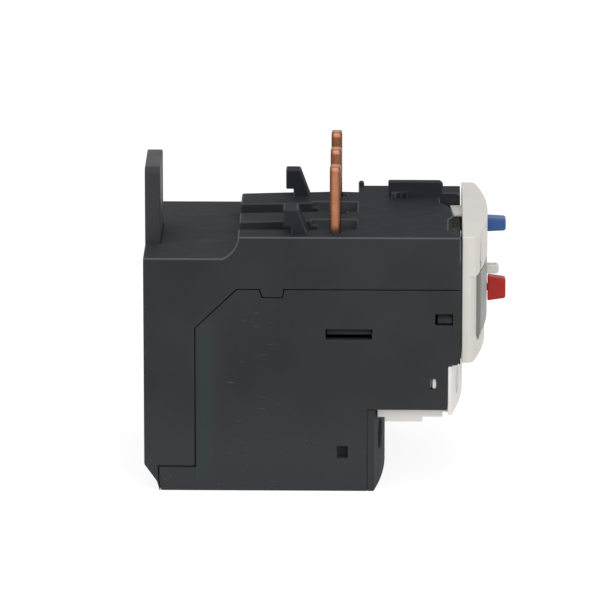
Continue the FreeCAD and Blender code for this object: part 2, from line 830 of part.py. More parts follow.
def power_terminal_block():
    """Dark block at the front foot with three chambers for the load wires."""
    body = new_body("power_terminal_block")
    front = size.base_front_y - size.power_strip
    top = size.throat_z - 0.1
    pad(body, "face_plate", "XY_Plane", 0, top,
        crowned_plan(half, size.base_front_y, front, size.power_crown))
    pad(body, "core", "XY_Plane", 0, top,
        rectangle(lid_in, far_in, size.base_front_y - 0.5, size.power_block_rear_y))
    chambers, slots, access, relief = [], [], [], []
    for number in range(3):
        middle = power_x(number)
        chambers.append(rectangle(middle - size.power_chamber / 2, middle + size.power_chamber / 2,
                                  size.power_chamber_y, size.power_strap_y))
        slots.append(rectangle(middle - size.power_strap_width / 2, middle + size.power_strap_width / 2,
                               size.power_strap_y - 0.1, size.power_strap_y + size.power_strap))
        access.append(disc(middle, size.power_screw_z, size.power_access / 2))
        relief.append(around(middle, size.power_screw_z, size.power_shank + 0.6, size.power_shank + 0.6))
    pocket(body, "chambers", "XY_Plane", -1, size.power_chamber_top, *chambers)
    pocket(body, "strap_slots", "XY_Plane", -1, size.throat_z + 1, *slots)
    pocket(body, "screw_access", "XZ_Plane", front - size.power_crown - 1, size.power_chamber_y + 0.5, *access)
    pocket(body, "screw_relief", "XZ_Plane", size.power_strap_y + 1,
           size.power_block_rear_y - 0.3, *relief)


def aux_terminal_block():
    """Light block under the front cover with four chambers for the control wires."""
    body = new_body("aux_terminal_block")
    front = size.throat_y - size.aux_strip
    pad(body, "face_plate", "XY_Plane", size.aux_foot_z, size.aux_top_z,
        crowned_plan(half, size.throat_y - size.lid_gap, front, size.aux_crown))
    skirt = [
        (size.throat_y - 0.5, size.aux_foot_z), (size.throat_y + 0.9, size.aux_foot_z),
        (size.throat_y + 0.9, size.aux_deep_z + 1), (size.throat_y + 4.95, size.aux_deep_z + 1),
        (size.throat_y + 4.95, size.aux_deep_z), (size.aux_rear_y - 1.8, size.aux_deep_z),
        (size.aux_rear_y - 1.8, size.aux_deep_z + 0.9), (size.aux_rear_y, size.aux_deep_z + 0.9),
        (size.aux_rear_y, size.aux_top_z), (size.throat_y - 0.5, size.aux_top_z),
    ]
    pad(body, "core", "YZ_Plane", lid_in, far_in, outline(skirt))
    chambers, slots, access, relief = [], [], [], []
    for number in range(4):
        middle = aux_x(number)
        chambers.append(rectangle(middle - size.aux_chamber / 2, middle + size.aux_chamber / 2,
                                  size.aux_chamber_y, size.aux_strap_y))
        slots.append(rectangle(middle - size.aux_strap_width / 2, middle + size.aux_strap_width / 2,
                               size.aux_strap_y - 0.1, size.aux_strap_y + size.aux_strap))
        access.append(disc(middle, size.aux_screw_z, size.aux_access / 2))
        relief.append(around(middle, size.aux_screw_z, size.aux_shank + 0.6, size.aux_shank + 0.6))
    power_side = size.base_front_y - size.power_strip - size.touch_gap
    crown = (half * half + size.power_crown * size.power_crown) / (size.power_crown * 2)
    clear = [(-half, size.aux_rear_y + 2), (-half, power_side), (half, power_side), (half, size.aux_rear_y + 2)]
    pocket(body, "crown_clearance", "XY_Plane", size.aux_deep_z - 1, size.throat_z + 0.1,
           outline(clear, {1: (crown, 1)}))
    pocket(body, "chambers", "XY_Plane", size.aux_deep_z - 1, size.aux_chamber_top, *chambers)
    pocket(body, "strap_slots", "XY_Plane", size.aux_foot_z + 0.9, size.aux_top_z + 1, *slots)
    pocket(body, "screw_access", "XZ_Plane", front - size.aux_crown - 1, size.aux_chamber_y + 0.5, *access)
    pocket(body, "screw_relief", "XZ_Plane", size.aux_strap_y + 0.5, size.aux_rear_y - 0.6, *relief)


def terminal_screw(label, x, z, plate_y, plate, head, head_tall, shank, end_y):
    """Pan-head screw with a slot; it carries the clamp plate under its head."""
    body = new_body(label, x, 0, z)
    under = plate_y - plate
    top = under - head_tall
    revolve(body, "turned", [
        (0, top), (head / 2, top), (head / 2, under), (shank / 2, under), (shank / 2, end_y), (0, end_y),
    ])
    pocket(body, "slot", "XZ_Plane", top - 0.5, top + head_tall * 0.45,
           around(0, 0, head + 1, size.blade_slot))


def clamp_plate(label, x, z, plate_y, plate, width, shank):
    """Square pressure plate, with lips that keep the wire under the screw."""
    body = new_body(label, x, 0, z)
    pad(body, "plate", "XZ_Plane", plate_y - plate, plate_y,
        around(0, 0, width, width), disc(0, 0, shank / 2 + size.slide_clear))
    for side in (-1, 1):
        edge = width / 2 * side
        inner = edge - side * size.clamp_lip
        low, high = (inner, edge) if side > 0 else (edge, inner)
        pad(body, "lip", "XZ_Plane", plate_y - plate, plate_y + size.clamp_lip,
            rectangle(low, high, -width / 2, width / 2))


def load_strap(label, x):
    """Copper strap from the wire clamp up and back to the foot of the bimetal strip."""
    body = new_body(label, x, 0, 0)
    front = size.power_strap_y
    back = front + size.power_strap
    pad(body, "upright", "XZ_Plane", front, back,
        rectangle(-size.power_strap_width / 2, size.power_strap_width / 2, 2.6,
                  size.throat_z + size.power_strap),
        disc(0, size.power_screw_z, size.power_shank / 2 + size.slide_clear))
    pad(body, "shelf", "XY_Plane", size.throat_z, size.throat_z + size.power_strap,
        rectangle(-size.power_strap_width / 2, size.power_strap_width / 2, front,
                  size.bimetal_y + size.bimetal_wide + 1))


def contact_strap(label, x, tip_up):
    """Strap of an auxiliary terminal with its fixed contact tip."""
    body = new_body(label, x, 0, 0)
    front = size.aux_strap_y
    back = front + size.aux_strap
    top = size.contact_z + size.contact_strip
    pad(body, "upright", "XZ_Plane", front, back,
        rectangle(-size.aux_strap_width / 2, size.aux_strap_width / 2, size.aux_foot_z + 0.9, top),
        disc(0, size.aux_screw_z, size.aux_shank / 2 + size.slide_clear))
    pad(body, "finger", "XY_Plane", size.contact_z, top,
        rectangle(-size.aux_strap_width / 2, size.aux_strap_width / 2, front, size.carrier_y - size.touch_gap))
    low = top if tip_up else size.contact_z - size.contact_tall
    pad(body, "tip", "XY_Plane", low, low + size.contact_tall,
        around(0, size.carrier_y - size.bridge_deep / 2, size.contact_side, size.contact_side))


# ---------------------------------------------------------------- front cover and its pieces

def front_cover():
    """Crowned light cover with the dial recess, button wells, seal lug and four snap legs."""
    body = new_body("front_cover")
    pad(body, "lower_front", "XY_Plane", size.front_foot_z, size.deck_z, cover_plan(size.forehead_proud))
    pad(body, "forehead", "XY_Plane", size.forehead_z, size.deck_z, cover_plan(length(0)))
    recess_low = size.flap_low_z - size.flap_clear
    recess_high = size.flap_high_z + size.flap_clear
    floor = size.flap_thick + size.flap_clear
    right = size.flap_edge_x + size.flap_clear
    left = flap_hinge_x + size.flap_knuckle
    edge = flap_hinge_x - size.flap_knuckle - size.flap_clear
    behind = size.flap_hinge_y + size.flap_knuckle + size.flap_clear
    recess = [
        (edge, size.cover_shoulder_y - PAST * 2), (right, size.cover_shoulder_y - PAST * 2),
        (right, crown_y(right, floor)), (left, crown_y(left, floor)), (left, behind), (edge, behind),
    ]
    pocket(body, "flap_recess", "XY_Plane", recess_low, recess_high,
           outline(recess, {2: (crown_radius - floor, -1)}))
    pocket(body, "flap_pin_holes", "XY_Plane", recess_low - size.flap_pin_out, recess_high + size.flap_pin_out,
           disc(flap_hinge_x, size.flap_hinge_y, size.flap_pin + size.slide_clear))
    pocket(body, "dial_well", "XZ_Plane", size.cover_shoulder_y - PAST * 2, cover_back + 1,
           disc(dial_x, size.dial_z, size.dial_radius + size.well_clear))
    pocket(body, "reset_well", "XZ_Plane", size.cover_shoulder_y - PAST * 2, size.reset_floor_y,
           disc(button_x, size.reset_z, size.reset_radius + size.well_clear))
    pocket(body, "stop_well", "XZ_Plane", size.cover_shoulder_y - PAST * 2, size.stop_floor_y,
           around(button_x, size.stop_z, size.stop_wide + size.well_clear * 2,
                  size.stop_tall + size.well_clear * 2))
    pocket(body, "test_well", "XZ_Plane", size.cover_shoulder_y - PAST * 2, size.test_floor_y,
           disc(button_x, size.test_z, size.test_radius + size.slide_clear))
    pocket(body, "stem_holes", "XZ_Plane", size.cover_shoulder_y, cover_back + 1,
           disc(button_x, size.reset_z, size.reset_stem + size.slide_clear),
           disc(button_x, size.stop_z, size.stop_stem + size.slide_clear),
           disc(button_x, size.test_z, size.test_stem + size.slide_clear))
    flag_top = size.flag_low_z + size.flag_tall
    pocket(body, "flag_room", "XZ_Plane", size.flag_face_y - 0.3, cover_back + 1,
           rectangle(flag_x - size.flag_wide / 2 - 0.3, flag_x + size.flag_wide / 2 + 0.3,
                     size.flag_low_z - size.carrier_travel - 0.3, flag_top + 0.3))
    pocket(body, "flag_window", "XZ_Plane", size.cover_shoulder_y - PAST * 2, size.flag_face_y,
           around(flag_x, flag_top - 1.9, size.flag_wide - 0.6, 1.8))
    lug_root = crown_y(size.lug_x, floor) + 0.6
    low = size.lug_z - size.lug_side / 2
    high = size.lug_z + size.lug_side / 2
    tip, nose = size.lug_tip_y, size.lug_round
    lug = [
        (lug_root, high), (tip + nose, high), (tip, high - nose), (tip, low + nose), (tip + nose, low),
        (lug_root, low),
    ]
    pad(body, "seal_lug", "YZ_Plane", size.lug_x - size.lug_side / 2, size.lug_x + size.lug_side / 2,
        outline(lug, {1: (nose, 1), 3: (nose, 1)}))
    pocket(body, "seal_hole", "XY_Plane", low - 1, high + 1,
           disc(size.lug_x, tip + size.lug_side / 2, size.lug_hole))
    inner = cover_half - size.cover_skin
    hollow_front = crown_y(0, floor + size.cover_skin) + 2.0
    pocket(body, "core_out", "XZ_Plane", hollow_front, cover_back + 1,
           rectangle(-inner, dial_x - size.dial_radius - size.cover_skin,
                     size.flap_low_z + 1, size.flap_high_z - 1),
           rectangle(dial_x + size.dial_radius + size.cover_skin, size.cover_divide_x,
                     size.flap_low_z + 1, size.flap_high_z - 1))
    floor_z = size.deck_z - size.cutout_depth + 0.05
    tongue_far_x = box_x - size.tongue_gap
    tongue = [
        (size.tongue_near_x, cover_back - 0.5), (tongue_far_x, cover_back - 0.5),
        (tongue_far_x, size.front_y + size.tongue_long),
        (size.tongue_near_x, size.front_y + size.tongue_long - size.tongue_skew),
    ]
    pad(body, "tongue", "XY_Plane", floor_z, floor_z + size.tongue_thick, outline(tongue))
    legs = []
    for side in (-1, 1):
        for level in (size.leg_low_z, size.leg_high_z):
            legs.append(around((cover_half - size.leg_set_in) * side, level, size.leg_wide, size.leg_tall))
    pad(body, "snap_legs", "XZ_Plane", cover_back - 0.5, wall_in_y - 0.2, *legs)


def dial_flap():
    """Clear hinged flap over the dial, with a hole for the seal lug."""
    body = new_body("dial_flap", flap_hinge_x, size.flap_hinge_y, 0)
    right = size.flap_edge_x
    left = flap_hinge_x
    skin = size.flap_thick
    points = [
        (right - flap_hinge_x, crown_y(right, skin) - size.flap_hinge_y),
        (0, crown_y(left, skin) - size.flap_hinge_y),
        (0, crown_y(left, 0.05) - size.flap_hinge_y),
        (right - flap_hinge_x, crown_y(right, 0.05) - size.flap_hinge_y),
    ]
    pad(body, "pane", "XY_Plane", size.flap_low_z, size.flap_high_z,
        outline(points, {0: (crown_radius - skin, -1), 2: (crown_radius - 0.05, 1)}))
    pad(body, "knuckle", "XY_Plane", size.flap_low_z, size.flap_high_z, disc(0, 0, size.flap_knuckle))
    pad(body, "trunnions", "XY_Plane", size.flap_low_z - size.flap_pin_out,
        size.flap_high_z + size.flap_pin_out, disc(0, 0, size.flap_pin))
    hole = size.lug_side + size.flap_clear * 2 + 0.3
    pocket(body, "lug_hole", "XZ_Plane", -PAST * 2, PAST,
           around(size.lug_x - flap_hinge_x, size.lug_z, hole, hole))


def current_dial():
    """Setting dial: disc with a blade slot and pointer, shaft and cam."""
    body = new_body("current_dial", dial_x, 0, size.dial_z)
    front = size.dial_front_y
    back = front + size.dial_thick
    revolve(body, "turned", [
        (0, front), (size.dial_radius - 0.4, front), (size.dial_radius, front + 0.4),
        (size.dial_radius, back), (size.dial_shaft, back), (size.dial_shaft, size.dial_tail_y),
        (0, size.dial_tail_y),
    ])
    pad(body, "cam", "XZ_Plane", wall_in_y + 1, wall_in_y + 4, disc(size.dial_cam_offset, 0, size.dial_cam))
    pocket(body, "blade_slot", "XZ_Plane", front - 1, front + 0.9,
           around(0, 0, size.dial_radius * 1.1, size.blade_slot))
    pocket(body, "pointer", "XZ_Plane", front - 1, front + 0.4,
           outline([(-0.6, size.dial_radius * 0.55), (0.6, size.dial_radius * 0.55),
                    (0, size.dial_radius * 0.88)]))


def collar(body, stem):
    """Snap collar behind the front wall that keeps a button from coming out."""
    start = wall_in_y + size.collar_gap
    pad(body, "collar", "XZ_Plane", start, start + size.collar_thick,
        disc(0, 0, stem + size.collar_extra))


def reset_plunger():
    """Plunger of the reset button; the knob turns on its spigot."""
    body = new_body("reset_plunger", button_x, 0, size.reset_z)
    back = size.reset_front_y + size.reset_disc
    revolve(body, "turned", [
        (0, back - size.reset_disc + 0.3), (size.reset_spigot, back - size.reset_disc + 0.3),
        (size.reset_spigot, back), (size.reset_stem, back), (size.reset_stem, size.reset_end_y),
        (0, size.reset_end_y),
    ])
    collar(body, size.reset_stem)


def reset_knob():
    """Blue reset knob: disc flush in the cover with a bar to press and turn."""
    body = new_body("reset_knob", button_x, 0, size.reset_z)
    front = size.reset_front_y
    pad(body, "disc", "XZ_Plane", front, front + size.reset_disc, disc(0, 0, size.reset_radius))
    wide, tall = size.reset_grip_wide / 2, size.reset_grip_tall / 2
    slim, tip = tall - size.reset_grip_taper, size.reset_grip_y
    grip = [
        (front + 0.3, -tall), (front + 0.3, tall), (tip + 0.6, slim), (tip, slim - 0.6),
        (tip, -slim + 0.6), (tip + 0.6, -slim),
    ]
    pad(body, "grip", "YZ_Plane", -wide, wide, outline(grip, {2: (0.6, 1), 4: (0.6, 1)}))
    pocket(body, "socket", "XZ_Plane", front + 0.3, front + size.reset_disc + 0.5,
           disc(0, 0, size.reset_spigot + size.slide_clear))


def stop_button():
    """Red stop button: tapered cap on a round stem."""
    body = new_body("stop_button", button_x, 0, size.stop_z)
    wide, tall = size.stop_wide / 2, size.stop_tall / 2
    near, tip = size.stop_back_y, size.stop_tip_y
    cap = [
        (near, -tall), (near, tall), (tip + 0.6, tall - size.stop_taper), (tip, tall - size.stop_taper - 0.6),
        (tip, -tall + size.stop_taper + 0.6), (tip + 0.6, -tall + size.stop_taper),
    ]
    pad(body, "cap", "YZ_Plane", -wide, wide, outline(cap, {2: (0.6, 1), 4: (0.6, 1)}))
    pad(body, "stem", "XZ_Plane", near - 0.5, size.stem_end_y, disc(0, 0, size.stop_stem))
    collar(body, size.stop_stem)


def test_button():
    """Small round test button, level with the cover."""
    body = new_body("test_button", button_x, 0, size.test_z)
    front = size.test_front_y
    revolve(body, "turned", [
        (0, front), (size.test_radius, front), (size.test_radius, front + size.test_cap),
        (size.test_stem, front + size.test_cap),
        (size.test_stem, size.stem_end_y), (0, size.stem_end_y),
    ])
    collar(body, size.test_stem)


def coil_spring(label, x, y, z, inside, tall, turns, plane_tilt):
    """Compression spring whose axis is Y, or Z when plane_tilt is set."""
    body = new_body(label, x, y, z)
    drawing = new_sketch(body, "wire", "XZ_Plane" if plane_tilt else "XY_Plane", 0)
    rectangle(inside, length(inside) + size.spring_wire, 0, size.spring_wire)(drawing)
    coil = body.newObject("PartDesign::AdditiveHelix", "coil")
    coil.Profile = drawing
    coil.ReferenceAxis = (drawing, ["V_Axis"])
    coil.Mode = "height-turns-angle"
    bind(coil, "Height", length(tall) - size.spring_wire)
    coil.Turns = turns
    return coil


# ---------------------------------------------------------------- current path and heaters

def phase_pin(label, number):
    """Copper pin that plugs into the contactor, with a tab over the heater."""
    middle = pin_x(number)
    body = new_body(label)
    low = size.pin_y - size.pin_thick / 2
    high = size.pin_y + size.pin_thick / 2
    wide = size.pin_wide / 2
    top = size.pin_top_z
    shape = [
        (middle - wide, size.pin_foot_z), (middle + wide, size.pin_foot_z),
        (middle + wide, top - size.pin_round), (middle + wide - size.pin_round, top),
        (middle - wide + size.pin_round, top), (middle - wide, top - size.pin_round),
    ]
    pad(body, "blade", "XZ_Plane", low, high,
        outline(shape, {2: (size.pin_round, 1), 4: (size.pin_round, 1)}))
    pad(body, "tab", "XY_Plane", size.pin_foot_z, size.pin_foot_z + size.pin_tab,
        rectangle(middle - wide, power_x(number) + size.heater_wide / 2, low, size.heater_y + 1.2))


def bimetal_strip(label, number):
    """Upright bimetal strip, welded to the load strap at its foot."""
    body = new_body(label, power_x(number), 0, 0)
    pad(body, "strip", "XY_Plane", size.throat_z + size.power_strap, size.bimetal_top_z,
        rectangle(-size.bimetal_thick / 2, size.bimetal_thick / 2, size.bimetal_y,
                  size.bimetal_y + size.bimetal_wide))


def heater_winding(label, number):
    """Insulated sleeve with the flat heater winding round the bimetal strip."""
    body = new_body(label, power_x(number), 0, 0)
    wide, deep = size.heater_wide / 2, size.heater_deep
    middle = size.bimetal_y + size.bimetal_wide / 2
    low_y, high_y = middle - deep / 2, middle + deep / 2
    bore = rectangle(-size.bimetal_thick / 2, size.bimetal_thick / 2, size.bimetal_y,
                     size.bimetal_y + size.bimetal_wide)
    pad(body, "sleeve", "XY_Plane", size.heater_low_z, size.heater_high_z,
        rectangle(-wide + size.heater_turn_out, wide - size.heater_turn_out,
                  low_y + size.heater_turn_out, high_y - size.heater_turn_out), bore)
    first = size.heater_low_z + 0.5
    band = pad(body, "turn", "XY_Plane", first, first + size.heater_turn,
               rectangle(-wide, wide, low_y, high_y), bore)
    rows = body.newObject("PartDesign::LinearPattern", "turns")
    rows.Originals = [band]
    rows.Direction = (band.Profile[0], ["N_Axis"])
    bind(rows, "Length", size.heater_turn_pitch * 5)
    rows.Occurrences = 6
    body.Tip = rows
    pad(body, "lead", "XY_Plane", size.heater_high_z - 2, size.pin_foot_z,
        rectangle(-1.2, 1.2, low_y, low_y + 1.0))


# ---------------------------------------------------------------- trip works

def slide_bar(label, low, finger_side):
    """Sliding bar with one finger beside each bimetal strip and a stud for the lever."""
    body = new_body(label)
    back = size.bar_y + size.bar_deep
    pad(body, "rail", "XY_Plane", low, low + size.bar_tall,
        rectangle(power_x(0) - size.bar_near_over, power_x(2) + size.bar_far_over, size.bar_y, back))
    gap = size.bar_touch if finger_side > 0 else size.bar_touch + size.bar_travel
    fingers = []
    for number in range(3):
        near = power_x(number) + (size.bimetal_thick / 2 + gap) * finger_side
        far = near + size.bar_finger * finger_side
        low_x, high_x = (near, far) if finger_side > 0 else (far, near)
        fingers.append(rectangle(low_x, high_x, size.bimetal_y + 1, size.bar_y + 0.5))
    pad(body, "fingers", "XY_Plane", low, low + size.bar_tall, *fingers)
    pad(body, "stud", "XZ_Plane", back - 0.5, back + size.touch_gap + size.lever_thick,
        disc(stud_x, low + size.bar_tall / 2, size.stud_radius))


def differential_lever():
    """Lever between the two bars; its nose pushes the compensating strip."""
    body = new_body("differential_lever", stud_x, 0, size.shift_bar_z + size.bar_tall / 2)
    front = size.bar_y + size.bar_deep + size.touch_gap
    rise = size.return_bar_z - size.shift_bar_z
    nose = strip_x - size.touch_gap - stud_x
    plate = [
        (-1.3, -1.3), (1.3, -1.3), (nose, rise - 0.6), (nose, rise + 1.2), (1.4, rise + 2.2), (-1.3, rise + 2.2),
    ]
    slot = rounded(-size.stud_radius - 0.3, size.stud_radius + 0.3, rise - 1.0, rise + 1.0, size.stud_radius)
    pad(body, "plate", "XZ_Plane", front, front + size.lever_thick, outline(plate),
        disc(0, 0, size.stud_radius + size.slide_clear), slot)


def compensating_strip():
    """Second bimetal that cancels the room temperature, on an upright pivot."""
    body = new_body("compensating_strip", strip_x + size.strip_thick / 2, size.strip_pivot_y, 0)
    thick = size.strip_thick / 2
    tall = size.strip_high_z
    bore = disc(0, 0, size.pivot_radius + size.slide_clear)
    pad(body, "hub", "XY_Plane", size.strip_low_z, tall, disc(0, 0, size.pivot_hub), bore)
    front = [(-thick, size.strip_front_y - size.strip_pivot_y), (thick, size.strip_front_y - size.strip_pivot_y),
             (thick, -size.pivot_hub + 0.3), (-thick, -size.pivot_hub + 0.3)]
    rear = [(-thick, size.pivot_hub - 0.3), (thick, size.pivot_hub - 0.3),
            (thick, size.strip_rear_y - size.strip_pivot_y), (-thick, size.strip_rear_y - size.strip_pivot_y)]
    pad(body, "strip", "XY_Plane", size.strip_low_z, tall, outline(front), outline(rear))


def strip_pivot():
    """Steel pin that carries the compensating strip."""
    body = new_body("strip_pivot", strip_x + size.strip_thick / 2, size.strip_pivot_y, 0)
    pad(body, "pin", "XY_Plane", size.strip_low_z - 3, size.strip_high_z + 0.4, disc(0, 0, size.pivot_radius))


def trip_latch():
    """Bell crank: the compensating strip turns it and it presses the contact carrier."""
    body = new_body("trip_latch", latch_x, 0, size.latch_z)
    arm_x = strip_x - size.touch_gap - latch_x
    arm_z = size.strip_low_z + 0.4 - size.latch_z
    reach = far_in - size.post_wide / 2 - 1 - latch_x
    post_top = size.carrier_high_z + size.post_tall - size.latch_z
    plate = [
        (-1.8, 1.4), (1.6, 1.8), (reach, 0.8), (reach, post_top + size.touch_gap),
        (reach - 2, post_top + size.touch_gap), (arm_x - 0.5, -2.2), (arm_x - 0.5, arm_z + 2.2),
        (arm_x, arm_z + 0.8), (arm_x, arm_z),
        (arm_x - 1.2, arm_z), (0.8, -2.2), (-1.8, -1.4),
    ]
    bore = disc(0, 0, size.latch_pin + size.slide_clear)
    pad(body, "plate", "XZ_Plane", size.latch_y, size.latch_y + size.latch_thick, outline(plate), bore)
    pad(body, "presser", "XZ_Plane", size.carrier_y, size.latch_y + 0.5,
        rectangle(reach - 1.8, reach, post_top + size.touch_gap, 0.6))


def latch_pin():
    """Steel pin of the trip latch, pressed into the front wall."""
    body = new_body("latch_pin", latch_x, 0, size.latch_z)
    pad(body, "pin", "XZ_Plane", wall_in_y - 1.2, size.latch_y + size.latch_thick + 0.4,
        disc(0, 0, size.latch_pin))


def contact_carrier():
    """Plastic slide that carries both contact bridges and the post for the latch."""
    body = new_body("contact_carrier")
    back = size.carrier_y + size.carrier_thick
    pad(body, "plate", "XZ_Plane", size.carrier_y, back,
        rectangle(lid_in + size.carrier_gap, far_in - size.carrier_gap, size.carrier_low_z,
                  size.carrier_high_z))
    reach = far_in - size.post_wide / 2 - 1
    pad(body, "post", "XZ_Plane", size.carrier_y, back,
        rectangle(reach - size.post_wide, reach, size.carrier_high_z - 0.5, size.carrier_high_z + size.post_tall))


def contact_bridge(label, first, last, bar_low, tip_up):
    """Moving bridge with two contact tips, held on the front of the carrier."""
    body = new_body(label)
    pad(body, "bar", "XY_Plane", bar_low, bar_low + size.bridge_thick,
        rectangle(aux_x(first) - 2.2, aux_x(last) + 2.2, size.carrier_y - size.bridge_deep, size.carrier_y))
    low = bar_low + size.bridge_thick if tip_up else bar_low - size.contact_tall
    tips = [around(aux_x(number), size.carrier_y - size.bridge_deep / 2, size.contact_side, size.contact_side)
            for number in (first, last)]
    pad(body, "tips", "XY_Plane", low, low + size.contact_tall, *tips)


def trip_flag():
    """Indicator flag on an arm from the carrier, seen through the cover's window."""
    body = new_body("trip_flag")
    arm = size.flag_arm / 2
    pad(body, "arm", "XZ_Plane", size.flag_face_y, size.carrier_y,
        rectangle(flag_x - arm, flag_x + arm, size.flag_low_z, size.flag_low_z + size.flag_arm))
    pad(body, "face", "XZ_Plane", size.flag_face_y, size.flag_face_y + size.flag_thick,
        rectangle(flag_x - size.flag_wide / 2, flag_x + size.flag_wide / 2, size.flag_low_z,
                  size.flag_low_z + size.flag_tall))


# ---------------------------------------------------------------- build

main_housing()
rear_tab()
side_cover()
power_terminal_block()
aux_terminal_block()
front_cover()
dial_flap()
current_dial()
reset_plunger()
reset_knob()
stop_button()
test_button()
coil_spring("reset_spring", button_x, size.reset_front_y + size.reset_disc, size.reset_z,
            size.reset_stem + 0.3, size.reset_floor_y - size.reset_front_y - size.reset_disc, 2, False)
coil_spring("stop_spring", button_x, size.stop_back_y, size.stop_z,
            size.stop_stem + 0.1, size.stop_floor_y - size.stop_back_y, 2.5, False)
coil_spring("test_spring", button_x, size.test_front_y + size.test_cap, size.test_z,
            size.test_stem + 0.1, size.test_floor_y - size.test_front_y - size.test_cap, 2, False)
coil_spring("carrier_spring", 0, size.carrier_y + size.carrier_thick / 2, size.aux_top_z,
            0.6, size.carrier_low_z - size.aux_top_z, 2.5, True)

PHASES = ("left", "middle", "right")
for order, phase in enumerate(PHASES):
    phase_pin(f"phase_pin_{phase}", order)
    bimetal_strip(f"bimetal_strip_{phase}", order)
    heater_winding(f"heater_winding_{phase}", order)
    load_strap(f"load_strap_{phase}", power_x(order))
    terminal_screw(f"power_screw_{phase}", power_x(order), size.power_screw_z, size.power_plate_y,
                   size.power_plate, size.power_head, size.power_head_tall, size.power_shank,
                   size.power_strap_y + size.power_strap)
    clamp_plate(f"power_clamp_{phase}", power_x(order), size.power_screw_z, size.power_plate_y,
                size.power_plate, size.power_plate_width, size.power_shank)

CONTACTS = ("nc_outer", "nc_inner", "no_inner", "no_outer")
for order, contact in enumerate(CONTACTS):
    contact_strap(f"contact_strap_{contact}", aux_x(order), contact.startswith("no"))
    terminal_screw(f"aux_screw_{contact}", aux_x(order), size.aux_screw_z, size.aux_plate_y,
                   size.aux_plate, size.aux_head, size.aux_head_tall, size.aux_shank,
                   size.aux_strap_y + size.aux_strap)
    clamp_plate(f"aux_clamp_{contact}", aux_x(order), size.aux_screw_z, size.aux_plate_y,
                size.aux_plate, size.aux_plate_width, size.aux_shank)

slide_bar("shift_bar", size.shift_bar_z, 1)
slide_bar("return_bar", size.return_bar_z, -1)
differential_lever()
compensating_strip()
strip_pivot()
trip_latch()
latch_pin()
contact_carrier()
contact_bridge("nc_bridge", 0, 1, size.contact_z - size.contact_tall * 2 - size.bridge_thick, True)
contact_bridge("no_bridge", 2, 3,
               size.contact_z + size.contact_strip + size.contact_tall * 2 + size.carrier_travel, False)
trip_flag()

doc.recompute()

# ---------------------------------------------------------------- checks and files

for item in doc.Objects:
    if "Invalid" in item.State or "Error" in item.State:
        raise RuntimeError(f"{item.Name} ({item.Label}) is {item.State}")

bodies = [item for item in doc.Objects if item.TypeId == "PartDesign::Body"]
for body in bodies:
    if body.Shape.isNull() or not body.Shape.isValid() or not body.Shape.Solids:
        raise RuntimeError(f"{body.Label} has no valid solid")

os.makedirs("parts", exist_ok=True)
for body in bodies:
    body.Shape.exportStep(f"parts/{body.Label}.step")
    print(body.Label, len(body.Shape.Solids), round(body.Shape.Volume, 2))
print(len(bodies), "sub-parts written")
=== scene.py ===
# %% [markdown]
# # A plug-in thermal overload relay
# This small block of moulded plastic guards an electric motor. Three copper pins on top plug into a
# contactor, three screw terminals underneath take the motor's wires, and four small ones in front carry the
# control wires. The lesson dresses the CAD model of the relay: it rounds the moulded edges, winds real wire
# springs, prints a scale round the setting dial, and gives every plastic and metal its own finish.

import json
import math

import bmesh
import bpy
from mathutils import Matrix, Vector
from mathutils.bvhtree import BVHTree
from mathutils.geometry import intersect_point_line


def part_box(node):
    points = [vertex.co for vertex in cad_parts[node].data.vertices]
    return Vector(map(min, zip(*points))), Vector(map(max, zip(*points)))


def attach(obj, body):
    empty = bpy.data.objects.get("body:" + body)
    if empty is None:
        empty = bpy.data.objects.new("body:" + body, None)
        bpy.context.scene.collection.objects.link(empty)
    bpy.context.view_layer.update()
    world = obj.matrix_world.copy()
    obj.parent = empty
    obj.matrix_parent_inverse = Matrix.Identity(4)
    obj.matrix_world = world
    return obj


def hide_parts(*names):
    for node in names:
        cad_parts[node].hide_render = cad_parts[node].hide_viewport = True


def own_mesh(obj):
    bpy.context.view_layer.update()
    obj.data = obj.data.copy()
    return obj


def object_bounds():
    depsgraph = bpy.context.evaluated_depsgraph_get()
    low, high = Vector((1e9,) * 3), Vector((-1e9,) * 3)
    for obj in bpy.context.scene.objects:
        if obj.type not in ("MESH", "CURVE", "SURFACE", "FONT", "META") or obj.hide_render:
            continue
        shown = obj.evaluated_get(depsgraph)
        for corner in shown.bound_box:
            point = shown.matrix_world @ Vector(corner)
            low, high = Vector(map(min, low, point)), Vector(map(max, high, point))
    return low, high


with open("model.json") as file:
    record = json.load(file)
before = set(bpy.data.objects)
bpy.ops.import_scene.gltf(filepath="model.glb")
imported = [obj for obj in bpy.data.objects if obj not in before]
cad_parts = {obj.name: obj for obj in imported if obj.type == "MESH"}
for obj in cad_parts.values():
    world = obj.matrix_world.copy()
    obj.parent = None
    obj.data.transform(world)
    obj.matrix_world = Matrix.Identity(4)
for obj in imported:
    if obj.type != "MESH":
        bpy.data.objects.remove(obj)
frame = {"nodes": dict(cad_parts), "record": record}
nodes = frame["nodes"]
cad_low, cad_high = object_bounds()
slot_of = {row["node"]: row["material_slot"] for row in frame["record"]["subparts"]}
body_of_node = {}
for body_name, members in frame["record"]["behaviour"]["bodies"].items():
    for member in members:
        body_of_node[member] = body_name
print("nodes in the model:", len(nodes))

# %% [markdown]
# Everything in Blender is in metres, while a relay is thought of in millimetres. One short helper keeps the
# sizes below readable.

# %% Millimetres to metres
def mm(value):
    return value / 1000


relay_size = cad_high - cad_low
print("relay, in mm:", [round(side * 1000, 1) for side in relay_size])

# %% [markdown]
# A few places are used by several steps: the side cover, its upright seam towards the rear, and the deck
# that the contactor sits on.

# %% Shared places
side_low, side_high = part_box("side_cover")
seam_y = side_low.y + mm(53.2)
deck_z = side_high.z + mm(11)
near_side = (side_low.x - mm(9), side_low.x + mm(6))
print("deck above the base, in mm:", round(deck_z * 1000, 1))

